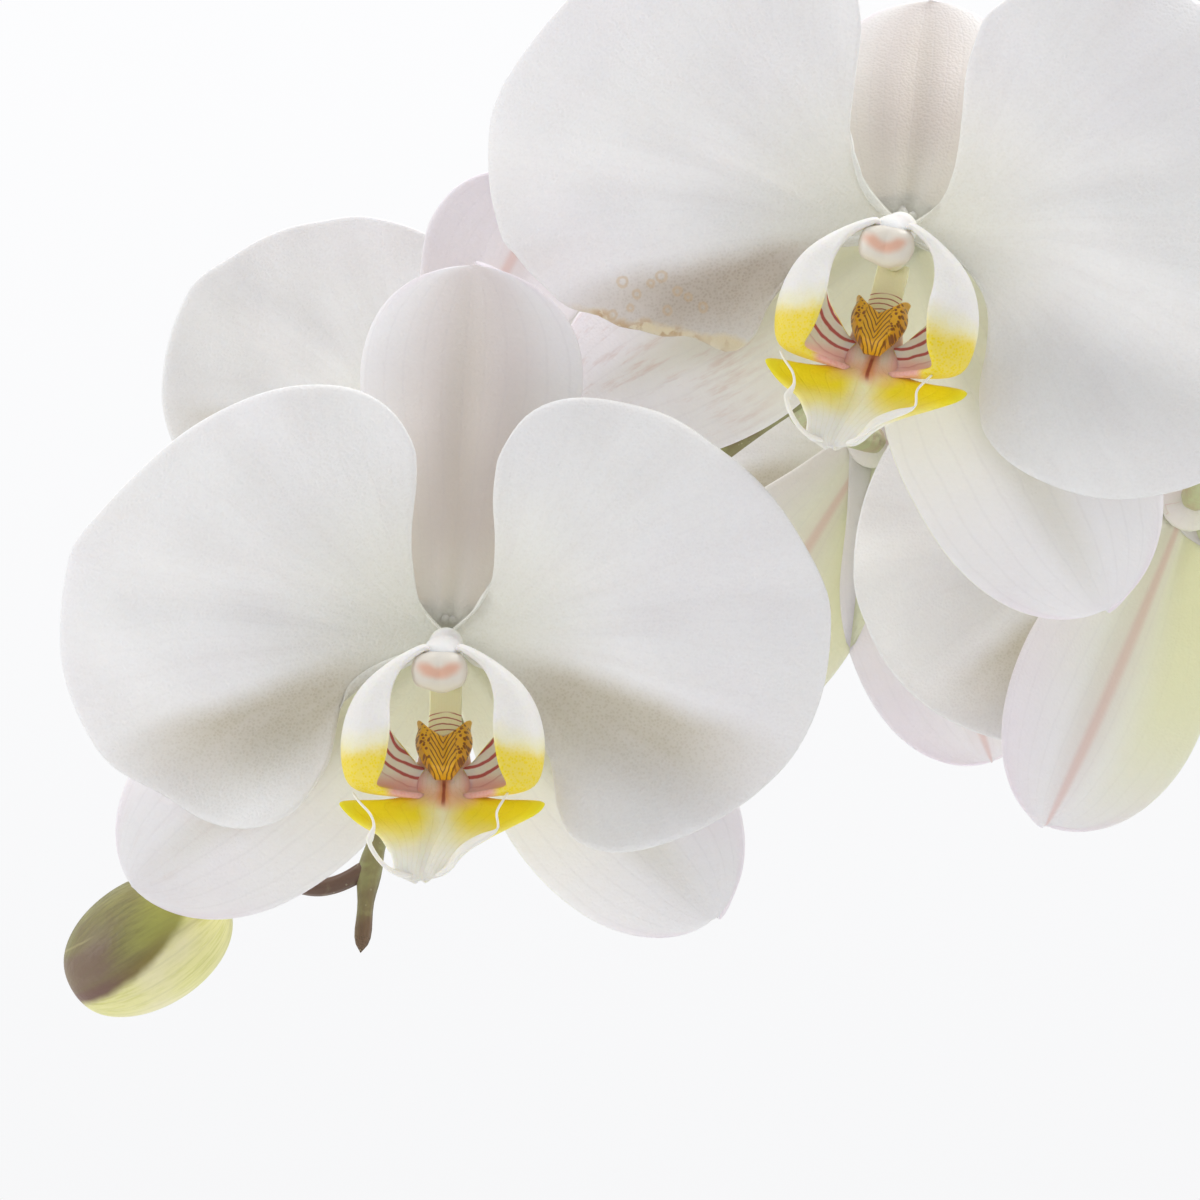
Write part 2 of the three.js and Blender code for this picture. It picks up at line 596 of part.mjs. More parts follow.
// A sheath that hugs the spike at a node, flared towards the tip
function spikeNode(share) {
  const wide = spikeRadius(share) + SPIKE_NODE.flare;
  const narrow = spikeRadius(share) - SPIKE_NODE.sunk;
  const geometry = new THREE.CylinderGeometry(wide, narrow, SPIKE_NODE.length, SPIKE.sides);
  const tangent = spikeCurve.getTangentAt(share);
  geometry.applyQuaternion(new THREE.Quaternion().setFromUnitVectors(new THREE.Vector3(0, 1, 0), tangent));
  geometry.translate(...spikeCurve.getPointAt(share));
  return solidOf(geometry);
}

function spikeSolid() {
  const joints = [...BLOOMS, BUD].map(({ joint }) => joint - SPIKE_NODE.before);
  const tip = spikeCurve.getPointAt(1);
  const cap = ellipsoidSolid([tip.x, tip.y, tip.z], SPIKE_CAP, 7, 4);
  return fuse([spikeTube(0), ...[...SPIKE_NODES, ...joints].map(spikeNode), cap]);
}

// A stalk from the spike to a point, arriving along a direction
function stalkSolid(joint, end, arriving, clearOf) {
  const start = spikeCurve.getPointAt(joint);
  const leaving = end.clone().sub(start).normalize();
  leaving.addScaledVector(spikeCurve.getTangentAt(joint), PEDICEL.along).normalize();
  const curve = new THREE.CubicBezierCurve3(
    start,
    start.clone().addScaledVector(leaving, PEDICEL.reach),
    end.clone().addScaledVector(arriving, -PEDICEL.reach),
    end,
  );
  const swell = PEDICEL.topRadius - PEDICEL.radius;
  const radiusAt = (share) => PEDICEL.radius + swell * smooth(PEDICEL.swellFrom, 1, share);
  return tubeSolid(curve, PEDICEL.steps, PEDICEL.sides, radiusAt).subtract(clearOf);
}

// Materials, from the photo where it shows the piece
const surface = (color, roughness) => new THREE.MeshStandardMaterial({ color, roughness, metalness: 0 });
const MATERIALS = {
  pot: surface(0xf1efea, 0.3),
  bark: surface(0x6b4a33, 0.9),
  crown: surface(0x7f9455, 0.6),
  leaf: surface(0x47682f, 0.42),
  root: surface(0xa3ad97, 0.75),
  stem: surface(0x8d8f62, 0.6),
  petal: surface(0xf1f0ee, 0.6),
  column: surface(0xf3ece4, 0.5),
  lip: surface(0xf3ecc0, 0.5),
  callus: surface(0xd0950f, 0.5),
  pedicel: surface(0xb9bf8d, 0.6),
  bud: surface(0xaaac72, 0.5),
};

const orchid = new THREE.Group();

function addPiece(parent, name, geometry, material) {
  const mesh = new THREE.Mesh(geometry, material);
  mesh.name = name;
  parent.add(mesh);
}

// Pot, bark, crown, leaves and roots
const crown = crownSolid(0);
const crownRoom = crownSolid(GAP);
const spike = spikeSolid().subtract(crownRoom);
const spikeRoom = spikeTube(GAP);
const rootTube = ({ path }, growth) => {
  const radiusAt = (share) => ROOT.radius * (1 - ROOT.taper * share) + growth;
  return tubeSolid(spaceCurve(path), ROOT.steps, ROOT.sides, radiusAt);
};
const hollows = [crownRoom, spikeRoom, ...ROOTS.map((root) => rootTube(root, GAP))];
const bark = hollows.reduce((solid, hollow) => solid.subtract(hollow), barkSolid());
addPiece(orchid, "pot", geometryOf(potSolid()), MATERIALS.pot);
addPiece(orchid, "bark_mix", geometryOf(filled(bark)), MATERIALS.bark);
addPiece(orchid, "crown", geometryOf(crown), MATERIALS.crown);
for (const leaf of LEAVES) {
  addPiece(orchid, leaf.name, geometryOf(leafSolid(leaf).subtract(crownRoom)), MATERIALS.leaf);
}
for (const root of ROOTS) {
  const solid = rootTube(root, 0).subtract(crownRoom).subtract(spikeRoom);
  addPiece(orchid, root.name, geometryOf(solid), MATERIALS.root);
}
addPiece(orchid, "flower_spike", geometryOf(spike), MATERIALS.stem);

// Blooms and their stalks
const column = geometryOf(columnSolid());
const lip = geometryOf(lipSolid(), LIP_SLIVER);
const callus = callusGeometry();
for (const bloom of BLOOMS) {
  const stand = new THREE.Group();
  stand.position.set(...bloom.at);
  stand.rotation.order = "ZXY";
  stand.rotation.set(degrees(90 + bloom.pitch), 0, degrees(bloom.yaw));
  stand.scale.setScalar(bloom.size);
  const face = new THREE.Group();
  face.rotation.z = degrees(bloom.roll);
  const throat = new THREE.Group();
  throat.rotation.z = degrees(bloom.throat[0]);
  throat.position.y = bloom.throat[1];
  face.add(throat);
  stand.add(face);
  orchid.add(stand);
  const leftPetal = petalSolid(bloom.form.left, PETAL.leftLift);
  const petals = leftPetal.add(petalSolid(bloom.form.right, PETAL.rightLift));
  addPiece(face, bloom.name + "_sepals", geometryOf(sepalsSolid(bloom.form)), MATERIALS.petal);
  addPiece(face, bloom.name + "_petals", geometryOf(petals), MATERIALS.petal);
  addPiece(throat, bloom.name + "_column", column, MATERIALS.column);
  addPiece(throat, bloom.name + "_lip", lip, MATERIALS.lip);
  addPiece(throat, bloom.name + "_callus", callus, MATERIALS.callus);
  stand.updateMatrixWorld(true);
  const back = new THREE.Vector3(0, 0, HUB.z - HUB.depth - GAP).applyMatrix4(stand.matrixWorld);
  const facing = new THREE.Vector3(0, 0, 1).transformDirection(stand.matrixWorld);
  const stalk = stalkSolid(bloom.joint, back, facing, spikeRoom);
  addPiece(orchid, bloom.name + "_pedicel", geometryOf(stalk), MATERIALS.pedicel);
}

// Bud and its stalk
const budLean = degrees(BUD_LEAN);
const budAxis = new THREE.Vector3(-Math.sin(budLean), -0.05, -Math.cos(budLean)).normalize();
const budShape = new THREE.SphereGeometry(1, BUD.sides, BUD.rings);
budShape.rotateX(Math.PI / 2);
budShape.scale(...BUD.radii);
budShape.applyQuaternion(new THREE.Quaternion().setFromUnitVectors(new THREE.Vector3(0, 0, 1), budAxis));
budShape.translate(...BUD.at);
addPiece(orchid, "bud", geometryOf(solidOf(budShape)), MATERIALS.bud);
const budBase = vector(BUD.at).addScaledVector(budAxis, -BUD.radii[2] - GAP);
const budStalk = stalkSolid(BUD.joint, budBase, budAxis, spikeRoom);
addPiece(orchid, "bud_pedicel", geometryOf(budStalk), MATERIALS.pedicel);

export default orchid;
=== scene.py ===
import math
import random
from functools import partialmethod

import bpy
import numpy as np
from mathutils import Matrix, Vector


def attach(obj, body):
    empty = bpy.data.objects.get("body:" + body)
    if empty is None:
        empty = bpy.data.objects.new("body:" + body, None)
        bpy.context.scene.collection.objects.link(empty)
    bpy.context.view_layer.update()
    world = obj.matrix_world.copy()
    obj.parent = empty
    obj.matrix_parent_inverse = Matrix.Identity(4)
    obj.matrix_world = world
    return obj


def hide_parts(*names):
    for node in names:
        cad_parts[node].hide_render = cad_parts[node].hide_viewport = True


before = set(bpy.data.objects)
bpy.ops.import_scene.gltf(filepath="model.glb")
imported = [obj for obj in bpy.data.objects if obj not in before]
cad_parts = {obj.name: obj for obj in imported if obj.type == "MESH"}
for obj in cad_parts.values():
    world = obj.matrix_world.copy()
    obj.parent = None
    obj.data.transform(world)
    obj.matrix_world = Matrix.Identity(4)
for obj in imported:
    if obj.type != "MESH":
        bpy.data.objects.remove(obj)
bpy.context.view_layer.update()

# The moth orchid's own measures are millimetres, as in the part's source. Blender gets metres.
MM = 0.001


# Nodes

def paint(code):
    """The shader's colour for an sRGB code."""
    parts = [int(code[i:i + 2], 16) / 255 for i in (0, 2, 4)]
    return [c / 12.92 if c <= 0.04045 else ((c + 0.055) / 1.055) ** 2.4 for c in parts] + [1]


class Value:
    """A value that varies over a surface or a room. Sums and products of it add Math nodes."""

    def __init__(self, owner, socket):
        self.owner = owner
        self.socket = socket

    def math(self, operation, *others):
        return self.owner.math(operation, self, *others)

    __add__ = partialmethod(math, "ADD")
    __radd__ = __add__
    __sub__ = partialmethod(math, "SUBTRACT")
    __mul__ = partialmethod(math, "MULTIPLY")
    __pow__ = partialmethod(math, "POWER")
    __abs__ = partialmethod(math, "ABSOLUTE")

    def __rsub__(self, other):
        return self.owner.math("SUBTRACT", other, self)

    def rise(self, low, high):
        """0 up to low, 1 from high, and smooth between. It falls where high is below low."""
        values = {"Value": self, "From Min": low, "From Max": high}
        return self.owner.node("ShaderNodeMapRange", {"interpolation_type": "SMOOTHSTEP"}, values)

    def ripple(self):
        """0 at each multiple of pi and 1 halfway between them."""
        return abs(self.math("SINE"))


def distance(x, y):
    return (x * x + y * y) ** 0.5


class Nodes:
    """A tree of nodes, and the calls that add to it."""

    def __init__(self, tree):
        self.tree = tree

    def put(self, socket, value):
        if isinstance(value, Value):
            self.tree.links.new(value.socket, socket)
        else:
            socket.default_value = paint(value) if isinstance(value, str) else value

    def node(self, kind, settings, values, output=0):
        node = self.tree.nodes.new(kind)
        for key, value in settings.items():
            setattr(node, key, value)
        for key, value in values.items():
            self.put(node.inputs[key], value)
        return Value(self, node.outputs[output])

    def math(self, operation, *terms):
        return self.node("ShaderNodeMath", {"operation": operation}, dict(enumerate(terms)))

    def mix(self, factor, first, second):
        """The first colour where the factor is 0, the second where it is 1."""
        return self.node("ShaderNodeMix", {"data_type": "RGBA"}, {0: factor, 6: first, 7: second}, 2)

    def spot(self):
        """Object coordinates, in metres."""
        return self.node("ShaderNodeTexCoord", {}, {}, "Object")

    def parts(self, vector):
        return [self.node("ShaderNodeSeparateXYZ", {}, {0: vector}, i) for i in range(3)]

    def field(self, name):
        """An attribute of the piece as its three values."""
        return self.parts(self.node("ShaderNodeAttribute", {"attribute_name": name}, {}, "Vector"))

    def triple(self, x, y, z):
        return self.node("ShaderNodeCombineXYZ", {}, {0: x, 1: y, 2: z})

    def noise(self, scale, detail, at=None, roughness=0.5):
        values = {"Vector": at or self.spot(), "Scale": scale, "Detail": detail, "Roughness": roughness}
        return self.node("ShaderNodeTexNoise", {}, values, "Fac")

    def sway(self, scale, detail, span):
        """Noise about 0 that spans as much as is given."""
        return self.noise(scale, detail) * span - span / 2

    def cells(self, scale, feature="F1", at=None):
        values = {"Vector": at or self.spot(), "Scale": scale}
        return self.node("ShaderNodeTexVoronoi", {"feature": feature}, values, "Distance")


class Finish(Nodes):
    """A material made of nodes. flesh is how far light goes in, as weight, radius and scale, and the
    shader's other constant values are given by name. Colours are laid over one another in turn."""

    def __init__(self, name, flesh=(), **constants):
        self.material = bpy.data.materials.new(name)
        self.material.use_nodes = True
        super().__init__(self.material.node_tree)
        self.shader = self.tree.nodes["Principled BSDF"]
        self.colour = None
        constants.update(zip(("Subsurface_Weight", "Subsurface_Radius", "Subsurface_Scale"), flesh))
        for key, value in constants.items():
            self.shader.inputs[key.replace("_", " ")].default_value = value

    def ground(self, factor, first, second):
        self.colour = self.mix(factor, first, second)

    def lay(self, factor, colour):
        """Lays a colour over those before it, as far as the factor says."""
        self.colour = self.mix(factor, self.colour, colour)

    def wear(self, roughness=None, relief=None, depth=0.1):
        """Links the colours laid, the roughness and a relief from 0 to 1, its depth in millimetres."""
        self.put(self.shader.inputs["Base Color"], self.colour)
        if roughness is not None:
            self.put(self.shader.inputs["Roughness"], roughness)
        if relief is not None:
            values = {"Height": relief, "Distance": depth * MM, "Strength": 1.0}
            bump = self.node("ShaderNodeBump", {}, values)
            self.put(self.shader.inputs["Normal"], bump)
        return self.material


# Camera and light

ROOM_BLEND = 0.7


def linked(piece):
    bpy.context.collection.objects.link(piece)
    return piece


def add_camera():
    data = bpy.data.cameras.new("camera")
    data.lens = 100
    data.sensor_width = 36
    data.clip_start = 0.01
    camera = linked(bpy.data.objects.new("camera", data))
    camera.location = Vector((-145.8, -457, 433.5)) * MM
    camera.rotation_euler = (math.radians(90), 0, 0)
    bpy.context.scene.camera = camera


def add_lamp(name, at, aim, size, power, tone):
    data = bpy.data.lights.new(name, "AREA")
    data.shape = "DISK"
    data.size = size
    data.energy = power
    data.color = tone
    lamp = linked(bpy.data.objects.new(name, data))
    lamp.location = at
    lamp.rotation_euler = (Vector(aim) - Vector(at)).to_track_quat("-Z", "Y").to_euler()


def light_room(front, back, below, above):
    """A pale room, brightest behind the plant, dimmer behind the camera and towards the floor."""
    world = bpy.data.worlds.new("pale_room")
    world.use_nodes = True
    nodes = Nodes(world.node_tree)
    _, y, z = nodes.parts(nodes.node("ShaderNodeTexCoord", {}, {}, "Generated"))
    depth_share = y.rise(-ROOM_BLEND, ROOM_BLEND)
    height_share = z.rise(-ROOM_BLEND, ROOM_BLEND)
    strength = (depth_share * (back - front) + front) * (height_share * (above - below) + below)
    background = world.node_tree.nodes["Background"]
    background.inputs["Color"].default_value = (1, 1.002, 1.012, 1)
    nodes.put(background.inputs["Strength"], strength)
    bpy.context.scene.world = world


add_camera()
add_lamp("key_light", (0.35, 0.08, 1.5), (-0.12, 0, 0.43), 0.45, 8, (1, 0.995, 0.985))
add_lamp("side_light", (-1.25, -0.35, 0.9), (-0.15, 0, 0.43), 0.6, 4.2, (1, 0.998, 0.995))
add_lamp("low_light", (0.7, -0.6, 0.12), (0.02, 0, 0.42), 0.6, 1.2, (1, 0.998, 0.995))
light_room(0.53, 0.97, 0.92, 1.05)
bpy.context.scene.view_settings.view_transform = "Standard"


# Finishes

# Cells of skin to a metre, and how far light goes into the pieces of a bloom
SKIN_CELLS = 2600
BLADE_FLESH = (0.35, (0.004, 0.0034, 0.003), 0.6)
LOBE_FLESH = (0.3, (0.003, 0.0024, 0.001), 0.5)
PETAL_VEINS = 26


def petal_finish(name, slope, blemished=False):
    """White petal skin: sparkling cells, fanned veins, a yellow-green heart and a faint tint.
    slope is the angle of the fold below the middle."""
    f = Finish(name, BLADE_FLESH, Sheen_Weight=0.15, Specular_IOR_Level=0.35)
    x, y, _ = f.field("bloom_at")
    fan, out, _ = f.field("blade")
    reach = distance(x, y)
    warp = f.noise(90, 3) * 0.05
    wave = ((fan + warp) * (PETAL_VEINS * math.pi)).ripple()
    vein = wave.rise(0.3, 0.02) * out.rise(0.02, 0.25) * out.rise(1.02, 0.75)
    fork = ((fan + warp) * (PETAL_VEINS * 2 * math.pi)).ripple().rise(0.22, 0.02) * out.rise(0.5, 0.8)
    lines = vein.math("MAXIMUM", fork * 0.6)
    cell = f.cells(SKIN_CELLS)
    cloud = f.noise(60, 4)
    f.ground(cloud, "ebeae9", "f5f4f4")
    f.lay(f.noise(38, 2).rise(0.35, 0.75) * 0.5, "ebe7ee")
    f.lay(reach.rise(26, 3) * 0.65, "e3e2cc")
    # Painted shade in the fold below the middle, darker and greener, partly the petal's own green tinge
    line = abs(x) * math.sin(slope) + y * math.cos(slope) + f.sway(70, 2, 2)
    fold = line.rise(2.6, -1.8) * line.rise(-15, -3.5) * reach.rise(5, 18) * reach.rise(50, 29)
    if blemished:
        fold = fold * x.rise(6, -6)
    # The fold's painted shade, darker on the scarred petal
    f.lay(fold * 0.9, "aba092" if blemished else "b7b09c")
    f.lay(lines * 0.045, "c9c6c6")
    streak = f.noise(13, 3, at=f.triple(fan + warp * 0.3, out * 0.12, 0)).rise(0.4, 0.68)
    f.lay(streak * out.rise(0.1, 0.4) * 0.22, "dcd7d6")
    f.lay(cell.rise(0.15, 0.6) * 0.12, "ffffff")
    if blemished:
        blemish(f, x, y)
    relief = 1 - lines * 0.08 - cell * 0.5 + cloud * 0.2 - streak * 0.25
    return f.wear(0.42 + cell * 0.18, relief, 0.14)


# Old scars on the left petal of bloom 3, near its torn edge: x, y, radius of the ring
SCARS = [(-33.5, -8.9, 0.5), (-28.3, -8.6, 0.5), (-27, -9.4, 0.4), (-36.8, -11.4, 0.5),
         (-35.2, -7.4, 0.6), (-31.6, -7.6, 0.45), (-30.2, -6.8, 0.6), (-25.2, -10.6, 0.5),
         (-29.6, -11, 0.45), (-34.4, -10.6, 0.4)]


def blemish(f, x, y):
    """Cream-brown rings and a browned band where the petal's lower edge was bruised and torn."""
    ragged = f.sway(900, 2, 0.5)
    for centre_x, centre_y, radius in SCARS:
        away = distance(x - centre_x, y - centre_y) + ragged
        f.lay(abs(away - radius).rise(0.3, 0.06) * 0.42, "c9ac80")
    # The band follows the torn edge
    edge = y + 11.2 + (x + 40) * 0.2 + f.sway(230, 4, 4)
    band = edge.rise(1, -0.4) * x.rise(-45, -41) * x.rise(-15, -19)
    f.lay(band * 0.8, "e6d8b8")
    crack = f.noise(480, 4).rise(0.46, 0.54) * f.noise(130, 2).rise(0.3, 0.5)
    f.lay(band * crack * 0.8, "b8946c")


def sepal_finish(name, streaks):
    """Sepal skin: greener to the heart, with a tinted rim, and streaks of pinkish brown on some."""
    f = Finish(name, BLADE_FLESH, Sheen_Weight=0.15, Specular_IOR_Level=0.35)
    x, y, _ = f.field("bloom_at")
    across, along, back = f.field("blade")
    reach = distance(x, y)
    offset = across * 2 - 1
    warp = f.noise(80, 3) * 0.06
    wave = ((across + warp) * (11 * math.pi)).ripple()
    lines = wave.rise(0.35, 0.02) * along.rise(0.02, 0.2) * along.rise(1.02, 0.7)
    cell = f.cells(SKIN_CELLS)
    cloud = f.noise(60, 4)
    f.ground(cloud, "f0eef0", "f8f6f8")
    f.lay(f.noise(45, 3).rise(0.4, 0.7) * 0.5, "eee6ee")
    # Painted shade in the hollow along the midline near the base, over the sepal's own grey-green
    f.lay(abs(offset).rise(0.35, 0.02) * along.rise(0.95, 0.4) * 0.5, "d5d3c2")
    heart = f.mix(y.rise(-4, 4), "e9ebc6", "e0d9c8")
    f.lay(reach.rise(42, 10) * 0.7, heart)
    f.lay(abs(offset).rise(0.75, 1.0) * along.rise(0.5, 0.9) * 0.6, "ead9e6")
    # Painted shade down the middle of the upper sepal's front, over its own slightly greyer colour
    upper = y.rise(3, 14) * abs(offset + warp).rise(1, 0.25) * (1 - back)
    f.lay(upper * 0.6, "cfc4bf")
    # The streaks lie on the left lateral sepal alone
    speck = f.noise(14, 4, at=f.triple(across, along * 0.3, 0), roughness=0.7).rise(0.5, 0.75)
    f.lay(speck * x.rise(-14, -24) * y.rise(2, -6) * streaks, "cfaba0")
    f.lay(lines * 0.08, "c6c1c6")
    # The backs have a pink-brown rib, a mauve blush and a yellow-green half
    low = y.rise(2, -4)
    green_half = (offset + warp).rise(0.1, -0.6) * along.rise(0.95, 0.3)
    f.lay(back * low * green_half * 0.7, "e8eab4")
    f.lay(back * (offset + warp).rise(0.1, 0.9).math("MAXIMUM", 1 - low) * 0.4, "f0e2f0")
    f.lay(back * abs(offset).rise(0.3, 0.02) * 0.2, "e9d0d6")
    f.lay(back * abs(offset + warp * 0.2).rise(0.09, 0.01) * 0.4, "d8a49a")
    relief = 1 - lines * 0.12 - cell * 0.5 + cloud * 0.3
    return f.wear(0.42 + cell * 0.18, relief, 0.11)


def side_lobe_outer_finish():
    """Side lobe outside: white above, bright yellow below."""
    f = Finish("side_lobe_outside", LOBE_FLESH, Specular_IOR_Level=0.4)
    x, y, _ = f.field("bloom_at")
    cell = f.cells(SKIN_CELLS)
    edge = f.sway(240, 3, 3) + abs(x) * 0.25 - 2.5
    f.ground(f.noise(140, 3), "e9e6e2", "f4f2ef")
    f.lay((y + edge).rise(-11, -14.5) * 0.55, "f3ea9a")
    f.lay((y + edge).rise(-13.4, -16), "f0d60c")
    f.lay(abs(x).rise(7.2, 5.8) * y.rise(-17, -19), "e9a89c")
    f.lay(cell.rise(0.2, 0.6) * 0.1, "ffffff")
    return f.wear(0.45 + cell * 0.15, 1 - cell * 0.5, 0.08)


def side_lobe_inner_finish():
    """Side lobe inside: cream, with red-brown stripes low down."""
    f = Finish("side_lobe_inside", LOBE_FLESH, Specular_IOR_Level=0.4)
    x, y, _ = f.field("bloom_at")
    across, _, _ = f.field("blade")
    cell = f.cells(SKIN_CELLS)
    f.ground(f.noise(140, 3), "e6e2d4", "f1ede2")
    f.lay(across.rise(0.75, 0.2) * y.rise(-15, -9) * 0.55, "dfe0b4")
    f.lay(y.rise(-17.4, -19.4) * 0.85, "ebb0a4")
    yellow = across.rise(0.4, 0.8) * y.rise(-13, -16) * abs(x).rise(5.6, 7.4)
    f.lay(yellow * 0.9, "efd21a")
    # Arcs round a point beside the callus
    away = distance(abs(x) - 2.4, y + 11.6) + f.sway(260, 3, 0.9)
    arcs = (away * 2.5 - 10.8).ripple().rise(0.62, 0.3)
    zone = away.rise(3.6, 4.2) * away.rise(8.2, 7.6) * y.rise(-10.6, -12) * across.rise(0.6, 0.5)
    f.lay(arcs * zone * 0.9, "b83c34")
    return f.wear(0.5, 1 - cell * 0.5, 0.08)


def middle_lobe_finish():
    """Middle lobe: pink-orange root, yellow wings, cream middle, white tip and a brown midline."""
    f = Finish("middle_lobe_skin", (0.3, (0.003, 0.0022, 0.001), 0.5), Specular_IOR_Level=0.4)
    x, y, _ = f.field("bloom_at")
    across, _, _ = f.field("blade")
    wide = abs(x)
    rim = abs(across * 2 - 1)
    cell = f.cells(2400)
    drift = f.sway(260, 3, 2)
    high = y + drift
    far = wide + drift
    f.ground(f.noise(160, 3), "f1edc4", "f5f1dc")
    f.lay(far.rise(-1, 3.6) * high.rise(-28.4, -22.6), "f5e014")
    f.lay(far.rise(9, 12.5) * 0.5, "dcd21e")
    f.lay(high.rise(-25, -28.6) * 0.85, "f6f4ee")
    f.lay((y + drift * 1.5).rise(-22.6, -20.2) * wide.rise(5.5, 2.5) * 0.8, "eeb598")
    f.lay(high.rise(-21, -18.6), "f1e2d2")
    f.lay(rim.rise(0.45, 0.95) * y.rise(-21.4, -20) * y.rise(-15, -17.5) * 0.8, "e79f97")
    f.lay(y.rise(-15.5, -13.5), "ece7bd")
    wobble = x + f.sway(330, 2, 0.9)
    flame = abs(wobble).rise(1.3, 0.2) * y.rise(-22.6, -20.4) * y.rise(-17.5, -18.8)
    f.lay(flame * 0.7, "e08a3a")
    midline = abs(wobble).rise(0.34, 0.1) * y.rise(-22, -21) * y.rise(-18.2, -19.2)
    f.lay(midline * 0.85, "9c3f26")
    edge = rim.rise(0.86, 0.96) * wide.rise(2.6, 4) * wide.rise(9, 6)
    edge = edge * y.rise(-21.5, -21) * y.rise(-19.4, -20.2)
    f.lay(edge * 0.8, "b5533a")
    bars = ((y + x * x * 0.12 + f.noise(500, 2) * 0.4) * 4.6).ripple().rise(0.5, 0.2)
    f.lay(bars * y.rise(-13.4, -12.9) * y.rise(-10.2, -10.7) * 0.85, "a8433c")
    ribs = (across * 40 + f.noise(120, 2)).ripple().rise(0.3, 0.05)
    f.lay(ribs * 0.1, "dcc02a")
    return f.wear(0.45 + cell * 0.15, 1 - cell * 0.5 - ribs * 0.3, 0.08)


def tendril_finish():
    f = Finish("tendril_skin", (0.3, (0.002, 0.0017, 0.001), 0.5))
    f.ground(f.noise(500, 3), "eee9dc", "f8f6f1")
    return f.wear(0.45, f.noise(1600, 2), 0.06)


def callus_finish():
    """Callus: ochre with brown dots at the sides and brown lines in the middle."""
    f = Finish("callus_skin", (0.12, (0.002, 0.0012, 0.0004), 0.4), Coat_Weight=0.15, Coat_Roughness=0.3)
    x, y, _ = f.field("blade")
    warp = f.sway(700, 3, 0.7)
    dots = f.cells(2.2, at=f.triple(x, y, 0)).rise(0.5, 0.34)
    sides = abs(x).rise(1.3, 1.7).math("MAXIMUM", y.rise(0.9, 1.5))
    arrow = ((y - abs(x) * 1.7 + warp) * 3.4).ripple().rise(0.6, 0.35)
    middle = abs(x).rise(1.8, 1.4) * y.rise(1.9, 1.1)
    f.ground(f.noise(420, 3), "dc9f0c", "f0b818")
    f.lay(y.rise(0.5, 4) * 0.4, "e6b628")
    f.lay(dots * sides * 0.9, "7c3f12")
    f.lay(arrow * middle * 0.85, "6f3a10")
    return f.wear(0.38, f.noise(900, 3))


def column_finish():
    """Column: white above, pale yellow below the cap, greener at its foot."""
    f = Finish("column_skin", (0.3, (0.003, 0.0022, 0.0018), 0.5), Specular_IOR_Level=0.4)
    _, y, z = f.field("bloom_at")
    cell = f.cells(SKIN_CELLS)
    drift = f.sway(300, 3, 0.8)
    f.ground(f.noise(150, 3), "ece9e8", "f4f3f1")
    f.lay((y + drift).rise(-5.5, -7.5) * 0.8, "f3edbc")
    f.lay((z + drift).rise(5, 3) * 0.5, "e3e3cf")
    return f.wear(0.42 + cell * 0.15, 1 - cell * 0.5, 0.08)


def anther_finish():
    """Cap: greyish white with a peach band in the shape of a U."""
    f = Finish("anther_cap_skin", (0.25, (0.002, 0.0018, 0.0015), 0.5), Specular_IOR_Level=0.45)
    x, y, _ = f.field("bloom_at")
    away = distance(x + 0.5, (y + 4) * 1.3) + f.sway(420, 3, 0.8)
    f.ground(f.noise(200, 3), "e2dacd", "ece6db")
    f.lay(y.rise(-6, -7.8) * 0.6, "e6e0c4")
    f.lay(abs(away - 1.9).rise(1.5, 0.2) * y.rise(-3.6, -4.8) * 0.75, "e6aa8c")
    return f.wear(0.36, f.noise(1500, 2), 0.06)


def stalk_finish(name, green, brown, pale, brown_share):
    """A stem's waxy skin: green with brown clouds, fine pale flecks and lengthwise ribs."""
    f = Finish(name, (0.08, (0.001, 0.0012, 0.0005), 0.4), Specular_IOR_Level=0.4)
    around, _, _ = f.field("blade")
    cloud = f.noise(55, 4).rise(0.62 - brown_share * 0.4, 0.8 - brown_share * 0.4)
    fleck = f.cells(900).rise(0.16, 0.08)
    ribs = (around * (9 * math.pi)).ripple()
    f.ground(f.noise(28, 2), green, pale)
    f.lay(cloud, brown)
    f.lay(fleck * 0.3, "d9d8b4")
    f.lay(f.noise(380, 4).rise(0.45, 0.62) * 0.35, brown)
    f.lay(f.noise(620, 3).rise(0.55, 0.7) * 0.3, pale)
    f.lay(f.noise(1500, 2).rise(0.4, 0.7) * 0.15, brown)
    return f.wear(0.48, ribs * 0.4 + f.noise(1400, 3) * 0.6, 0.12)


# The bud's middle
BUD_AT = np.array((-204.6, -23, 388.7))


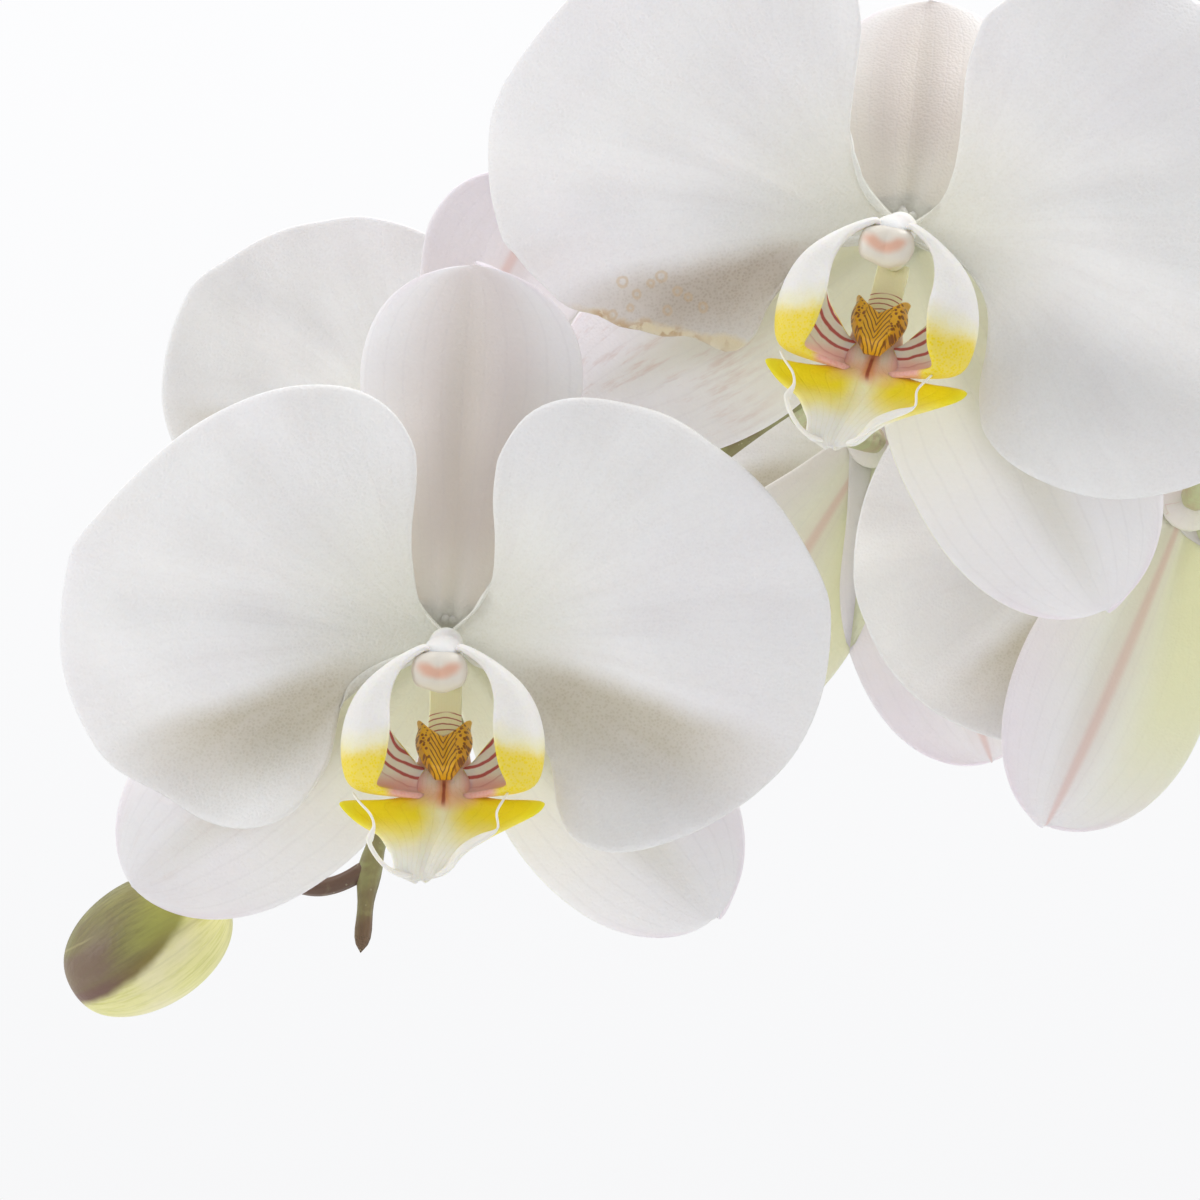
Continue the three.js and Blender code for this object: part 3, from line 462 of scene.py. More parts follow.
def bud_finish():
    """Bud: a dark olive-brown sepal with a purple-brown edge over yellow-green ones."""
    f = Finish("bud_skin", (0.12, (0.002, 0.002, 0.001), 0.4), Specular_IOR_Level=0.42)
    around, along, seam = f.field("blade")
    # Millimetres from the bud's middle
    x, _, z = f.parts(f.spot())
    x = x * 1000 - BUD_AT[0]
    z = z * 1000 - BUD_AT[2]
    # The dark sepal ends at an arc round a point up to its left
    away = distance(x + 14.6, z - 13.1) + f.sway(210, 3, 1.4)
    grain = f.noise(14, 4, at=f.triple(around * 6, along * 0.5, 0), roughness=0.65)
    ribs = (around * (24 * math.pi)).ripple()
    f.ground(grain.rise(0.35, 0.65), "827d4e", "959058")
    f.lay(f.noise(130, 3).rise(0.45, 0.7) * 0.6, "7d6a50")
    f.lay((x + grain * 3).rise(-1, 4) * z.rise(-3, 1) * 0.8, "aaab56")
    # A pale seam, with mauve below it
    line = z - x * 0.56 - 5.1 + f.sway(200, 2, 0.8)
    f.lay(line.rise(0, -2) * (x + grain * 3).rise(0, -4) * 0.7, "826a60")
    f.lay(abs(line).rise(0.25, 0.05) * x.rise(-5.5, -7.5) * 0.5, "b3a878")
    brown = f.mix(x.rise(-4, 1), "6f4b46", "7f6a34")
    f.lay(away.rise(18.6, 21) * z.rise(5, -1) * 0.65, brown)
    olive = f.colour
    f.ground(grain.rise(0.4, 0.7), "ece8a6", "dbd988")
    # Painted highlight: pale cream patches on the light half
    f.lay(f.noise(90, 3).rise(0.42, 0.66) * 0.6, "f2eac8")
    f.lay(away.rise(23.5, 22) * z.rise(-2, 5) * 0.4, "c3c75c")
    f.ground(away.rise(21.1, 22.5), olive, f.colour)
    f.lay(ribs.rise(0.4, 0.05) * 0.08, "77784c")
    f.lay(seam * 0.25, "83794f")
    return f.wear(0.46, ribs * 0.2 + f.noise(1300, 3) * 0.8, 0.12)


def leaf_finish():
    """Leaf: dark waxy green, paler along the rib and the edge, fine lengthwise veins."""
    f = Finish("leaf_skin", (0.05, (0.001, 0.002, 0.0005), 0.4), Specular_IOR_Level=0.5,
               Coat_Weight=0.25, Coat_Roughness=0.25)
    across, along, under = f.field("blade")
    wide = abs(across)
    veins = ((across + f.noise(30, 2) * 0.02) * 42).ripple()
    blotch = f.noise(26, 4)
    f.ground(blotch, "33521f", "4f7330")
    f.lay(veins.rise(0.3, 0.05) * 0.25, "6c8a45")
    f.lay(wide.rise(0.05, 0.01) * 0.5, "7f9a55")
    f.lay(wide.rise(0.95, 1.0) * 0.4, "6b7d45")
    f.lay(along.rise(0.12, 0.0) * 0.6, "8ba061")
    f.lay(under * 0.55, "6f8750")
    f.lay(f.cells(260).rise(0.1, 0.04) * 0.35, "9aa87a")
    return f.wear(0.34 + blotch * 0.16, veins * 0.25 + f.noise(700, 3) * 0.75, 0.15)


def root_finish():
    """Aerial root: silver-grey spongy skin, green where it is thin, with brown rubs."""
    f = Finish("root_skin", Specular_IOR_Level=0.25)
    cloud = f.noise(90, 4)
    f.ground(cloud, "a9b0a0", "c9ccc2")
    f.lay(f.noise(140, 3).rise(0.52, 0.68) * 0.7, "8a9a6a")
    f.lay(f.noise(60, 3).rise(0.6, 0.72) * 0.5, "8d7350")
    net = f.cells(1100, "DISTANCE_TO_EDGE").rise(0.1, 0.0)
    f.lay(net * 0.25, "7f846f")
    return f.wear(0.75 + cloud * 0.1, f.noise(1200, 4) - net * 0.4, 0.2)


def bark_finish():
    """Pine bark chips: brown plates with dark cracks and pale worn edges."""
    f = Finish("bark_chip", Specular_IOR_Level=0.2)
    shade, _, _ = f.field("blade")
    layers = f.noise(220, 6, roughness=0.65)
    crack = f.cells(170, "DISTANCE_TO_EDGE").rise(0.08, 0.0)
    f.ground(shade, "4a3021", "8a6143")
    f.lay(layers.rise(0.35, 0.7) * 0.7, "6f4a31")
    f.lay(f.noise(75, 3).rise(0.55, 0.75) * 0.5, "a98663")
    f.lay(crack * 0.7, "2b1b12")
    return f.wear(0.86, layers - crack * 0.5, 0.6)


def moss_finish():
    f = Finish("moss_strand", Specular_IOR_Level=0.2)
    f.ground(f.noise(120, 3), "7d8440", "b9b078")
    return f.wear(0.85, f.noise(2500, 2))


def pot_finish():
    """Plain white glaze: faint clouds, a slightly uneven skin and a bare foot."""
    f = Finish("pot_glaze", Coat_Weight=0.5, Coat_Roughness=0.08, Specular_IOR_Level=0.5)
    _, _, height = f.parts(f.spot())
    f.ground(f.noise(12, 3), "ece9e2", "f5f3ee")
    f.lay((height + f.noise(90, 2) * 0.002).rise(0.005, 0.0015) * 0.7, "c9b79d")
    return f.wear(0.24 + f.noise(18, 2) * 0.08, f.noise(70, 2), 0.12)


# Curves and grids

# In metres
MERGE_REACH = 0.000002


def smooth(low, high, value):
    share = np.clip((value - low) / (high - low), 0, 1)
    return share * share * (3 - 2 * share)


def bell(offset, width):
    return np.exp(-((offset / width) ** 2))


def unit(vectors):
    return vectors / np.linalg.norm(vectors, axis=-1, keepdims=True)


def blend_rows(rows, share):
    """Rows of numbers blended smoothly, from the first row at 0 to the last at 1."""
    rows = np.array(rows, float)
    ends = np.vstack([2 * rows[0] - rows[1], rows, 2 * rows[-1] - rows[-2]])
    place = np.clip(share, 0, 1) * (len(rows) - 1)
    first = np.minimum(place.astype(int), len(rows) - 2)
    t = (place - first)[:, None]
    a, b, c, d = (ends[first + i] for i in range(4))
    return b + t * ((c - a) / 2 + t * (a - 2.5 * b + 2 * c - d / 2 + t * (1.5 * (b - c) + (d - a) / 2)))


class Course:
    """A smooth course through points, read by the share of its length."""

    DOTS_PER_SPAN = 24
    STEP = 0.004

    def __init__(self, points):
        dots = (len(points) - 1) * self.DOTS_PER_SPAN + 1
        self.dots = blend_rows(points, np.linspace(0, 1, dots))
        steps = np.linalg.norm(np.diff(self.dots, axis=0), axis=1)
        self.share = np.concatenate([[0], np.cumsum(steps)]) / steps.sum()

    def at(self, share):
        return np.stack([np.interp(share, self.share, line) for line in self.dots.T], axis=1)

    def heading(self, share):
        return unit(self.at(np.clip(share + self.STEP, 0, 1)) - self.at(np.clip(share - self.STEP, 0, 1)))


def bare():
    bpy.ops.object.select_all(action="DESELECT")


def triples(items, key):
    """What a mesh's items hold under a key, as a row of three numbers for each."""
    flat = np.empty(len(items) * 3)
    items.foreach_get(key, flat)
    return flat.reshape(-1, 3)


def write_field(mesh, name, values):
    field = mesh.attributes.get(name) or mesh.attributes.new(name, "FLOAT_VECTOR", "POINT")
    field.data.foreach_set("vector", np.asarray(values, float).ravel())


def mapped(name, columns, rows, place):
    """A grid shaped by a function of (u, v), each from 0 to 1, that gives places and blade values."""
    bare()
    bpy.ops.mesh.primitive_grid_add(x_subdivisions=columns, y_subdivisions=rows, size=1)
    piece = bpy.context.object
    piece.name = name
    mesh = piece.data
    u, v, _ = triples(mesh.vertices, "co").T + 0.5
    places, blade = place(u, v)
    mesh.vertices.foreach_set("co", (places * MM).ravel())
    write_field(mesh, "blade", blade)
    mesh.update()
    return piece


def stack(*parts):
    return np.stack(np.broadcast_arrays(*parts), axis=1).astype(float)


def closed(piece):
    """Merges the seam and the poles of a tube or a lathe, with its faces outwards."""
    activate(piece)
    bpy.ops.object.mode_set(mode="EDIT")
    bpy.ops.mesh.select_all(action="SELECT")
    bpy.ops.mesh.remove_doubles(threshold=MERGE_REACH)
    bpy.ops.mesh.normals_make_consistent(inside=False)
    bpy.ops.object.mode_set(mode="OBJECT")
    return piece


def activate(piece):
    bare()
    piece.select_set(True)
    bpy.context.view_layer.objects.active = piece


def smoothed(piece, thickness=0.0, inner_slot=0, levels=1):
    """Gives a sheet its thickness behind its front, and a piece its subdivision."""
    activate(piece)
    if thickness:
        wall = piece.modifiers.new("wall", "SOLIDIFY")
        wall.thickness = thickness * MM
        wall.offset = -1
        wall.material_offset = inner_slot
        bpy.ops.object.modifier_apply(modifier="wall")
    if levels:
        round_off = piece.modifiers.new("round_off", "SUBSURF")
        round_off.levels = levels
        round_off.render_levels = levels
        bpy.ops.object.modifier_apply(modifier="round_off")
    bpy.ops.object.shade_smooth()
    return piece


def turned_to(piece, direction):
    """Turns a sheet's faces so that they look along the direction on the whole."""
    mesh = piece.data
    total = sum((face.normal * face.area for face in mesh.polygons), Vector())
    if total.dot(Vector(direction)) < 0:
        mesh.flip_normals()
    return piece


def front_sheet(name, columns, rows, place, thickness):
    """A smooth sheet that looks at the viewer of its bloom."""
    return smoothed(turned_to(mapped(name, columns, rows, place), (0, 0, 1)), thickness)


def dressed(piece, *materials):
    for material in materials:
        piece.data.materials.append(material)
    return piece


def joined(name, pieces):
    bare()
    for piece in pieces:
        piece.select_set(True)
    bpy.context.view_layer.objects.active = pieces[0]
    bpy.ops.object.join()
    piece = bpy.context.object
    piece.name = name
    piece.data.name = name
    return piece


def copied(piece, name):
    twin = piece.copy()
    twin.data = piece.data.copy()
    twin.name = name
    twin.data.name = name
    return linked(twin)


def settled(piece, slot, *nodes):
    """The piece stands for its CAD nodes and rides on the plant."""
    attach(piece, "root")
    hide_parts(*nodes)


# No stem or root runs this way, so that a ring can start from it
UNUSED_WAY = (0.31, 0.9, 0.29)


def ring(middle, ahead, angle, wide):
    """Places at an angle and a distance from a middle, around the way ahead."""
    side = unit(np.cross(ahead, UNUSED_WAY))
    up = np.cross(side, ahead)
    return middle + side * (np.cos(angle) * wide)[:, None] + up * (np.sin(angle) * wide)[:, None]


def tube(name, course, columns, rows, radius, swell=None):
    """A tube with rounded ends along a course. radius and swell are functions of the share along."""
    def place(u, share):
        angle = u * 2 * math.pi
        past_end = np.clip(1 - np.minimum(share, 1 - share) * rows / 2, 0, 1)
        wide = radius(share) * np.sqrt(np.clip(1 - past_end ** 2, 0, 1))
        if swell is not None:
            wide = wide * swell(angle, share)
        return ring(course.at(share), course.heading(share), angle, wide), stack(u, share, 0)

    return closed(mapped(name, columns, rows, place))


def ball(name, columns, rows, shape):
    """A closed form from a function of the angle around and the share from pole to pole."""
    def place(u, v):
        return shape(u * 2 * math.pi, v), stack(u, v, 0)

    return closed(mapped(name, columns, rows, place))


# Blooms

BLADE_THICKNESS = 0.7
LOBE_THICKNESS = 0.8
FACE_LEFT_PETAL = {
    "upper": [(0.4, -1), (-2.9, 2.4), (-3.9, 7), (-3.9, 12), (-3.1, 18), (-3, 22)],
    "margin": [(-3, 22), (-5.2, 26.3), (-9.9, 29.6), (-15.5, 30.5), (-21.7, 29.8), (-28.8, 27.2),
               (-35.5, 22.9), (-43.9, 14.9), (-48.2, 9.7), (-49.6, 1.1), (-48.7, -7.8), (-43.6, -17.2),
               (-36.7, -21), (-31, -24.2), (-24.8, -25.2), (-18.5, -22.9), (-14.7, -16.6)],
    "lower": [(1, -2.2), (-5.9, -3.4), (-11.5, -6.4), (-13.5, -10.5), (-14.7, -16.6)],
}
FACE_RIGHT_PETAL = {
    "upper": [(-0.4, -1), (3.7, 1.8), (5.8, 5.2), (6.4, 10.5), (6.4, 15.8), (7.2, 21)],
    "margin": [(7.2, 21), (9.6, 25.3), (12.8, 27.7), (17.6, 28.7), (23.4, 27.9), (28.9, 26.2),
               (33.8, 22.9), (38.8, 19), (43.3, 13.5), (47.8, 5), (48.4, -0.4), (47.3, -8.4),
               (43.8, -15.8), (38.8, -20.8), (34.8, -23.5), (30.3, -25.8), (23.9, -27.7), (19.4, -27.5),
               (16, -25.8), (14.2, -21.8)],
    "lower": [(-1, -2.2), (5.5, -4.2), (8.9, -6.9), (11.4, -12.3), (13, -15.8), (14.2, -21.8)],
}
TURNED_LEFT_PETAL = {
    "upper": [(0.4, -1), (-3.6, 1.4), (-5.8, 5), (-6.6, 10), (-6, 16), (-4.8, 23.2)],
    "margin": [(-4.8, 23.2), (-5.6, 29), (-9, 35.5), (-16, 39.5), (-25, 39.5), (-34, 36), (-42, 30.5),
               (-48.5, 23.5), (-53, 16.5), (-54, 9.2), (-53.3, 2.8), (-50.4, -2.9), (-46.6, -7.4),
               (-41.5, -10.5), (-36.3, -13.2), (-31, -13.6), (-26.2, -14.8), (-22.6, -16.6),
               (-20.2, -15.8), (-18.4, -13.2)],
    "lower": [(1, -2.2), (-6, -1.8), (-11, -3.6), (-15.9, -8.2), (-18.4, -13.2)],
}
TURNED_RIGHT_PETAL = {
    "upper": [(-0.4, -1), (4, 1.6), (6.2, 6), (7.2, 12), (8, 18.1), (10.2, 24.5)],
    "margin": [(10.2, 24.5), (14.7, 27.7), (21, 29.6), (29, 29.4), (37, 26), (44, 20), (49, 11), (51, 1),
               (50.4, -9), (48, -18), (44.4, -26.5), (38, -32.6), (31.2, -34.8), (24.2, -35.2),
               (17.2, -33), (12, -29.7), (9.6, -25.9)],
    "lower": [(-1, -2.2), (6, -4.2), (10, -9.8), (10.4, -15), (9.4, -21), (9.6, -25.9)],
}


def petal_height(x, y):
    reach = np.hypot(x, y)
    dome = 5.2 * (1 - bell(reach, 15))
    fall = 4.6 * (np.maximum(0, reach - 24) / 26) ** 2
    across = np.abs(x) * 0.33 + y * 0.94 + 7
    fold = 4.6 * bell(across, 8) * smooth(6, 24, reach) * smooth(56, 34, reach)
    crease = 0.9 * bell(y - 3 - np.abs(x) * 0.05, 3.2) * smooth(8, 20, reach)
    return dome - fall - fold - crease


def petal(name, outline, lift, phase, torn):
    """A petal blade on a fan of veins between its two inner edges and its margin."""
    upper = Course(outline["upper"])
    lower = Course(outline["lower"])
    margin = Course(outline["margin"])
    shoulder = upper.dots[-1]
    hip = lower.dots[-1]

    def place(fan, out):
        share = fan[:, None]
        reach = out[:, None]
        spread = margin.at(fan) - shoulder * (1 - share) - hip * share
        flat = upper.at(out) * (1 - share) + lower.at(out) * share + spread * reach
        if torn:
            bite = smooth(0.62, 0.68, fan) * smooth(0.96, 0.9, fan) * smooth(0.8, 1, out)
            ragged = np.sin(fan * 118) * 0.55 + np.sin(fan * 211 + 1) * 0.35 + np.sin(fan * 63) * 0.7
            flat[:, 1] += bite * ragged
        x, y = flat.T
        edge = smooth(0.6, 1, out)
        wave = 0.45 * edge * np.sin(fan * 15 + phase) + 0.2 * edge * np.sin(fan * 37 + phase * 2)
        rib = 0.28 * bell(fan - 0.52, 0.018) * smooth(0.1, 0.3, out) * smooth(1, 0.7, out)
        buckle = 0.22 * np.sin(x * 0.42 + phase) * np.sin(y * 0.36 + phase * 1.7) * smooth(0.2, 0.5, out)
        z = petal_height(x, y) + lift + wave - rib + buckle
        if torn:
            z = z + 0.9 * bite * np.sin(fan * 74 + 0.6)
        return stack(x, y, z), stack(fan, out, 0)

    return front_sheet(name, 44, 22, place, BLADE_THICKNESS)


DORSAL = [(-2, 4.2, -0.8), (7, 6.8, -1.4), (16, 9.6, -2.2), (24, 12.6, -3), (31, 14.6, -3),
          (37.5, 13, -2.4), (42, 8.4, -1.6), (44.6, 2.4, -1)]
LATERAL = [(-1, 3.6, -0.8), (9, 7.6, -2.2), (19, 12.4, -3), (28, 14, -3.2), (36, 12.6, -3),
           (43, 8.8, -2.2), (48.4, 2.6, -1.2)]
SHORT_DORSAL = [(-2, 4.2, -0.8), (5, 7, -1.8), (12, 9.4, -3.8), (18, 10.4, -6.8), (23, 10.6, -10.4),
                (27, 8.4, -13.6), (29.4, 2.4, -16)]
LONG_LATERAL = [(-1, 3.6, -0.8), (9, 8.4, -2.2), (20, 14.2, -3), (31, 15.6, -3.2), (41, 13.4, -3),
                (49, 8.8, -2.4), (53.6, 2.6, -1.8)]


def sepal(name, stations, angle, size, phase, pinched):
    """A sepal blade from the hub to its tip, hollow along the rib and rolled back at its sides.
    A pinched one is narrow beside the lip, on the side that pinched gives."""
    along = np.array([math.cos(math.radians(angle)), math.sin(math.radians(angle))])
    across = np.array([-along[1], along[0]])

    def place(u, v):
        share = 1 - (1 - v) ** 1.5
        distance, half, height = blend_rows(stations, share).T
        length = stations[-1][0] + 1.2
        widest, widest_at = max((row[1], row[0]) for row in stations)
        distance = distance + 1.2 * share ** 6
        past = np.clip((distance - widest_at) / (length - widest_at), 0, 1)
        half = np.where(distance > widest_at, widest * (1 - past ** 2.4) ** 0.52, half)
        offset = 2 * u - 1
        inner = smooth(0, 0.4, offset * pinched) * smooth(34, 4, distance) if pinched else 0
        half = half * (1 - 0.12 * inner)
        flat = along * (distance * size)[:, None] + across * (offset * half * size)[:, None]
        groove = 0.4 * bell(offset, 0.09) * smooth(1, 0.75, v) * smooth(0, 0.2, v)
        groove = groove - 0.5 * bell(np.abs(offset) - 0.3, 0.16) * smooth(0.7, 0.3, v)
        wave = 0.3 * np.sin(v * 9 + phase + offset) * offset ** 2 * smooth(0.2, 0.6, v)
        z = height - 2.4 * offset ** 2 * np.minimum(1, half / 14) - groove + wave
        return stack(flat[:, 0], flat[:, 1], z), stack(u, v, 0)

    sheet = turned_to(closed(mapped(name, 16, 26, place)), (0, 0, 1))
    return smoothed(sheet, BLADE_THICKNESS)


def mark_backs(piece):
    """Writes 1 into the third blade value where the face looks away from the viewer of the bloom."""
    mesh = piece.data
    blade = triples(mesh.attributes["blade"].data, "vector")
    blade[:, 2] = smooth(0.2, -0.2, triples(mesh.vertices, "normal")[:, 2])
    write_field(mesh, "blade", blade)


def hub(name):
    def shape(angle, v):
        polar = v * math.pi
        wide = 4.2 * np.sin(polar)
        return stack(wide * np.cos(angle), wide * np.sin(angle), -2.8 - 1.6 * np.cos(polar))

    return smoothed(ball(name, 20, 10, shape), levels=0)


COLUMN_PATH = [(0, -1.9, 2.2), (0, -2.3, 4.8), (-0.1, -3, 8), (-0.3, -4.4, 10.6), (-0.4, -5.6, 12)]
COLUMN_RADII = [(2.4,), (2,), (1.9,), (2.5,), (2.6,), (1.6,)]


def column_body(name):
    """The column: a curved neck, fuller at its head, with a rounded foot."""
    course = Course(COLUMN_PATH)

    def radius(share):
        return blend_rows(COLUMN_RADII, share)[:, 0]

    def swell(angle, share):
        return 1 + 0.05 * np.cos(3 * angle) * smooth(0.2, 0.8, share)

    body = smoothed(tube(name, course, 24, 24, radius, swell))

    def foot_shape(angle, v):
        polar = v * math.pi
        wide = np.sin(polar)
        y = -4.3 - 3.2 * np.cos(polar)
        return stack(2 * wide * np.cos(angle), y, 3.6 + 1.5 * wide * np.sin(angle))

    foot = smoothed(ball(name + "_foot", 16, 10, foot_shape))
    return joined(name, [body, foot])


def anther_cap(name):
    """The cap on the column's head, with a short beak and a lip below."""
    def shape(angle, v):
        polar = v * math.pi
        wide = np.sin(polar)
        # A box with round corners
        around = np.maximum(np.abs(np.cos(angle)), np.abs(np.sin(angle))) ** 0.45
        x = 3.5 * wide * np.cos(angle) / around - 0.4
        y = -5.1 + 2.4 * wide * np.sin(angle) / around
        z = 11.9 - 1.7 * np.cos(polar)
        low = smooth(0.1, -1, np.sin(angle)) * smooth(0.4, 1, wide)
        dent = 0.3 * bell(x + 0.5, 0.5) * smooth(0.4, 0.9, v)
        return stack(x, y - 0.5 * low * bell(x, 1.2), z + 0.35 * low - dent)

    return smoothed(ball(name, 24, 14, shape))


# Middle lobe, from the throat to the tip: middle y, middle z, edge x, edge y, edge z
MIDDLE_LOBE = [
    (-6.2, 2.8, 2, -6.2, 2.8), (-12, 6.2, 2.1, -12, 6.2), (-15.4, 8, 3.2, -15.4, 7.7),
    (-18.4, 9.4, 3.6, -18.4, 9.3), (-20, 10.2, 4, -20.2, 10.2), (-20.8, 10.7, 7.6, -20.9, 11.3),
    (-21.4, 11, 12.2, -20.9, 12.6), (-22.2, 11.4, 12, -22, 13), (-23.4, 12, 9.4, -23.6, 13.4),
    (-24.8, 12.8, 7, -24.9, 13.8), (-26.2, 13.4, 5.2, -26.3, 14.2), (-27.6, 13.9, 4.1, -27.7, 14.5),
    (-29, 14.4, 3.4, -29.1, 14.8), (-30, 14.7, 2.4, -30.1, 14.9), (-30.6, 14.8, 0.3, -30.6, 14.8),
]
# Side lobe, from its base to its tip: rear edge, outermost line, free front edge
SIDE_LOBE = [
    (2.2, -17.4, 8.4, 3.2, -19.8, 9.4, 2.2, -21, 10.2),
    (3.4, -16.6, 8.2, 7, -19.8, 10, 5.6, -20.4, 13),
    (4.8, -14.9, 7.9, 11.2, -18.6, 11, 8.9, -19.4, 15.6),
    (6.6, -12.6, 8, 12.5, -15, 11.6, 7.9, -16.4, 16.8),
    (7.4, -9.9, 8.4, 11.9, -10.6, 11.8, 7.2, -12, 16.4),
    (7.5, -7.2, 9, 9.8, -6.8, 12, 7.2, -7.9, 14.8),
    (5.8, -4.3, 10, 6.2, -3.8, 11.8, 5.5, -4.5, 13.4),
    (2.4, -2.2, 10.6, 2.6, -1.9, 11.8, 2.3, -2.3, 12.8),
    (1.4, -2.7, 10, 1.6, -2.2, 11, 1.4, -2.6, 11.6),
]
# Tendrils, from the tip of the middle lobe: a ribbon, then a thread up to the side lobe
TENDRILS = {
    -1: [(-3.4, -30, 14.6), (-5.8, -29.4, 15.4), (-7.4, -28, 16.2), (-8.6, -26, 16.6), (-8.5, -25, 16.4),
         (-8.1, -23.8, 16.2), (-8.6, -22.4, 15.7), (-10, -21, 14.6), (-11, -19.8, 13.2)],
    1: [(-0.8, -30, 14.8), (0.8, -28.8, 15.6), (2.3, -26.9, 16.2), (4.4, -25.5, 16.2), (6.6, -24.4, 16.2),
        (6.9, -23.6, 16.2), (6.7, -22.2, 16), (7.5, -20.7, 14.8), (8.2, -19.6, 13.6)],
}


def lobe_bend(y):
    """How far the middle lobe's end swings to its left at a height."""
    return -2.6 * smooth(-20, -31, y) ** 1.2


def middle_lobe(name):
    def place(u, v):
        middle_y, middle_z, edge_x, edge_y, edge_z = blend_rows(MIDDLE_LOBE, v).T
        offset = 2 * u - 1
        blend = offset ** 2
        x = offset * edge_x
        y = middle_y + (edge_y - middle_y) * blend
        crease = 0.5 * bell(x, 0.9) * smooth(0.4, 0.6, v)
        z = middle_z + (edge_z - middle_z) * blend - crease + 0.15 * np.sin(y * 2.1 + offset * 5) * blend
        return stack(x + lobe_bend(y), y, z), stack(u, v, 0)

    return front_sheet(name, 22, 42, place, LOBE_THICKNESS)


def side_lobe(name, side):
    def place(u, v):
        rows = blend_rows(SIDE_LOBE, v)
        rear, outer, free = rows[:, 0:3], rows[:, 3:6], rows[:, 6:9]
        control = 2 * outer - (rear + free) / 2
        t = u[:, None]
        dots = rear * (1 - t) ** 2 + control * 2 * t * (1 - t) + free * t ** 2
        # The free edge curls in towards the throat, and the sheet is a little fluted
        curl = smooth(0.8, 1, u) * smooth(0, 0.2, v) * smooth(0.9, 0.6, v)
        dots[:, 0] -= 0.9 * curl
        dots[:, 2] += 0.1 * np.sin(v * 40) * smooth(0.5, 1, u) - 0.3 * curl
        dots[:, 0] *= side
        return dots, stack(u, v, 0)

    return turned_to(mapped(name, 18, 24, place), (side, 0.0, 0.0))


def tendril(name, side):
    def radius(share):
        return 0.17 + 0.3 * smooth(0.66, 0.5, share)

    def swell(angle, share):
        return 1 + 0.6 * np.cos(2 * angle + share * 2) * smooth(0.6, 0.4, share)

    return smoothed(tube(name, Course(TENDRILS[side]), 10, 36, radius, swell))


CALLUS_AT = (0, -15, 9.1)
CALLUS_LEAN = -0.46
CALLUS_HALVES = [(1,), (2,), (2.9,), (3.5,), (3.7,), (3.4,), (3.6,)]


def callus_form(name):
    """The callus: a two-horned plate, notched above, warty at its sides."""
    def place(u, v):
        offset = 2 * u - 1
        half = blend_rows(CALLUS_HALVES, v)[:, 0]
        top = 1.7 + 2.9 * np.abs(offset) ** 1.5 - 0.8 * smooth(0.9, 1, np.abs(offset))
        x = offset * half
        y = -4.1 + v * (top + 4.1)
        ends = np.minimum(smooth(0, 0.16, v), smooth(1, 0.86, v))
        rim = np.minimum(smooth(1, 0.72, np.abs(offset)), ends)
        warts = 0.16 * np.sin(x * 6.5) * np.sin(y * 6.1) * smooth(0.8, 1.6, np.abs(x))
        valley = 0.5 * bell(x, 0.55)
        z = -0.2 + 2.8 * rim ** 0.6 + warts * rim - valley * rim
        cos, sin = math.cos(CALLUS_LEAN), math.sin(CALLUS_LEAN)
        dots = stack(x, y * cos - z * sin, y * sin + z * cos) + CALLUS_AT
        return dots, stack(x, y, 0)

    return front_sheet(name, 24, 24, place, BLADE_THICKNESS)


def spun(x=0.0, y=0.0, z=0.0):
    turn = Matrix.Identity(4)
    for amount, axis in ((z, "Z"), (x, "X"), (y, "Y")):
        turn = turn @ Matrix.Rotation(math.radians(amount), 4, axis)
    return turn


def placed(piece, matrix):
    """Moves a bloom's piece to its place, and writes where each point lies in the bloom."""
    mesh = piece.data
    write_field(mesh, "bloom_at", triples(mesh.vertices, "co") / MM)
    mesh.transform(matrix)
    mesh.update()
    return piece


# Each form's two petals, and its sepals: stations, angle, size, pinched side
FORMS = {
    "face": (FACE_LEFT_PETAL, FACE_RIGHT_PETAL,
             ((DORSAL, 86, 1, 0), (LATERAL, 219, 1.06, 0), (LATERAL, -47, 1, -1))),
    "narrow": (FACE_LEFT_PETAL, FACE_RIGHT_PETAL,
               ((DORSAL, 90, 1, 0), (LATERAL, 244, 1.04, 0), (LATERAL, -64, 1, 0))),
    "turned": (TURNED_LEFT_PETAL, TURNED_RIGHT_PETAL,
               ((SHORT_DORSAL, 87, 1, 0), (LATERAL, 208, 1, 0), (LONG_LATERAL, -63, 1, 0))),
}
# Name, form, place, yaw, pitch, roll, the throat's turn, rise and yaw, size, joint on the spike
BLOOMS = [
    ("bloom_1", "face", (-41, -20, 488), 8, 0, -8, 0, 0, 0, 1.02, 0.665),
    ("bloom_2", "face", (-64, 10, 447), 186, 4, -18, 0, 0, 0, 1, 0.715),
    ("bloom_3", "turned", (-106.9, -32, 481.7), -10, 0, 0, -10, 0.8, 0, 1.015, 0.79),
    ("bloom_4", "narrow", (-105, 38, 457), 174, 0, 6, 0, 0, 0, 0.98, 0.83),
    ("bloom_5", "face", (-165, -38, 430), -6, 0, 0, 0, 0, 6, 1, 0.925),
    ("bloom_6", "narrow", (-170.4, 22, 456.6), 166, 0, 28, 0, 0, 0, 0.9, 0.89),
]

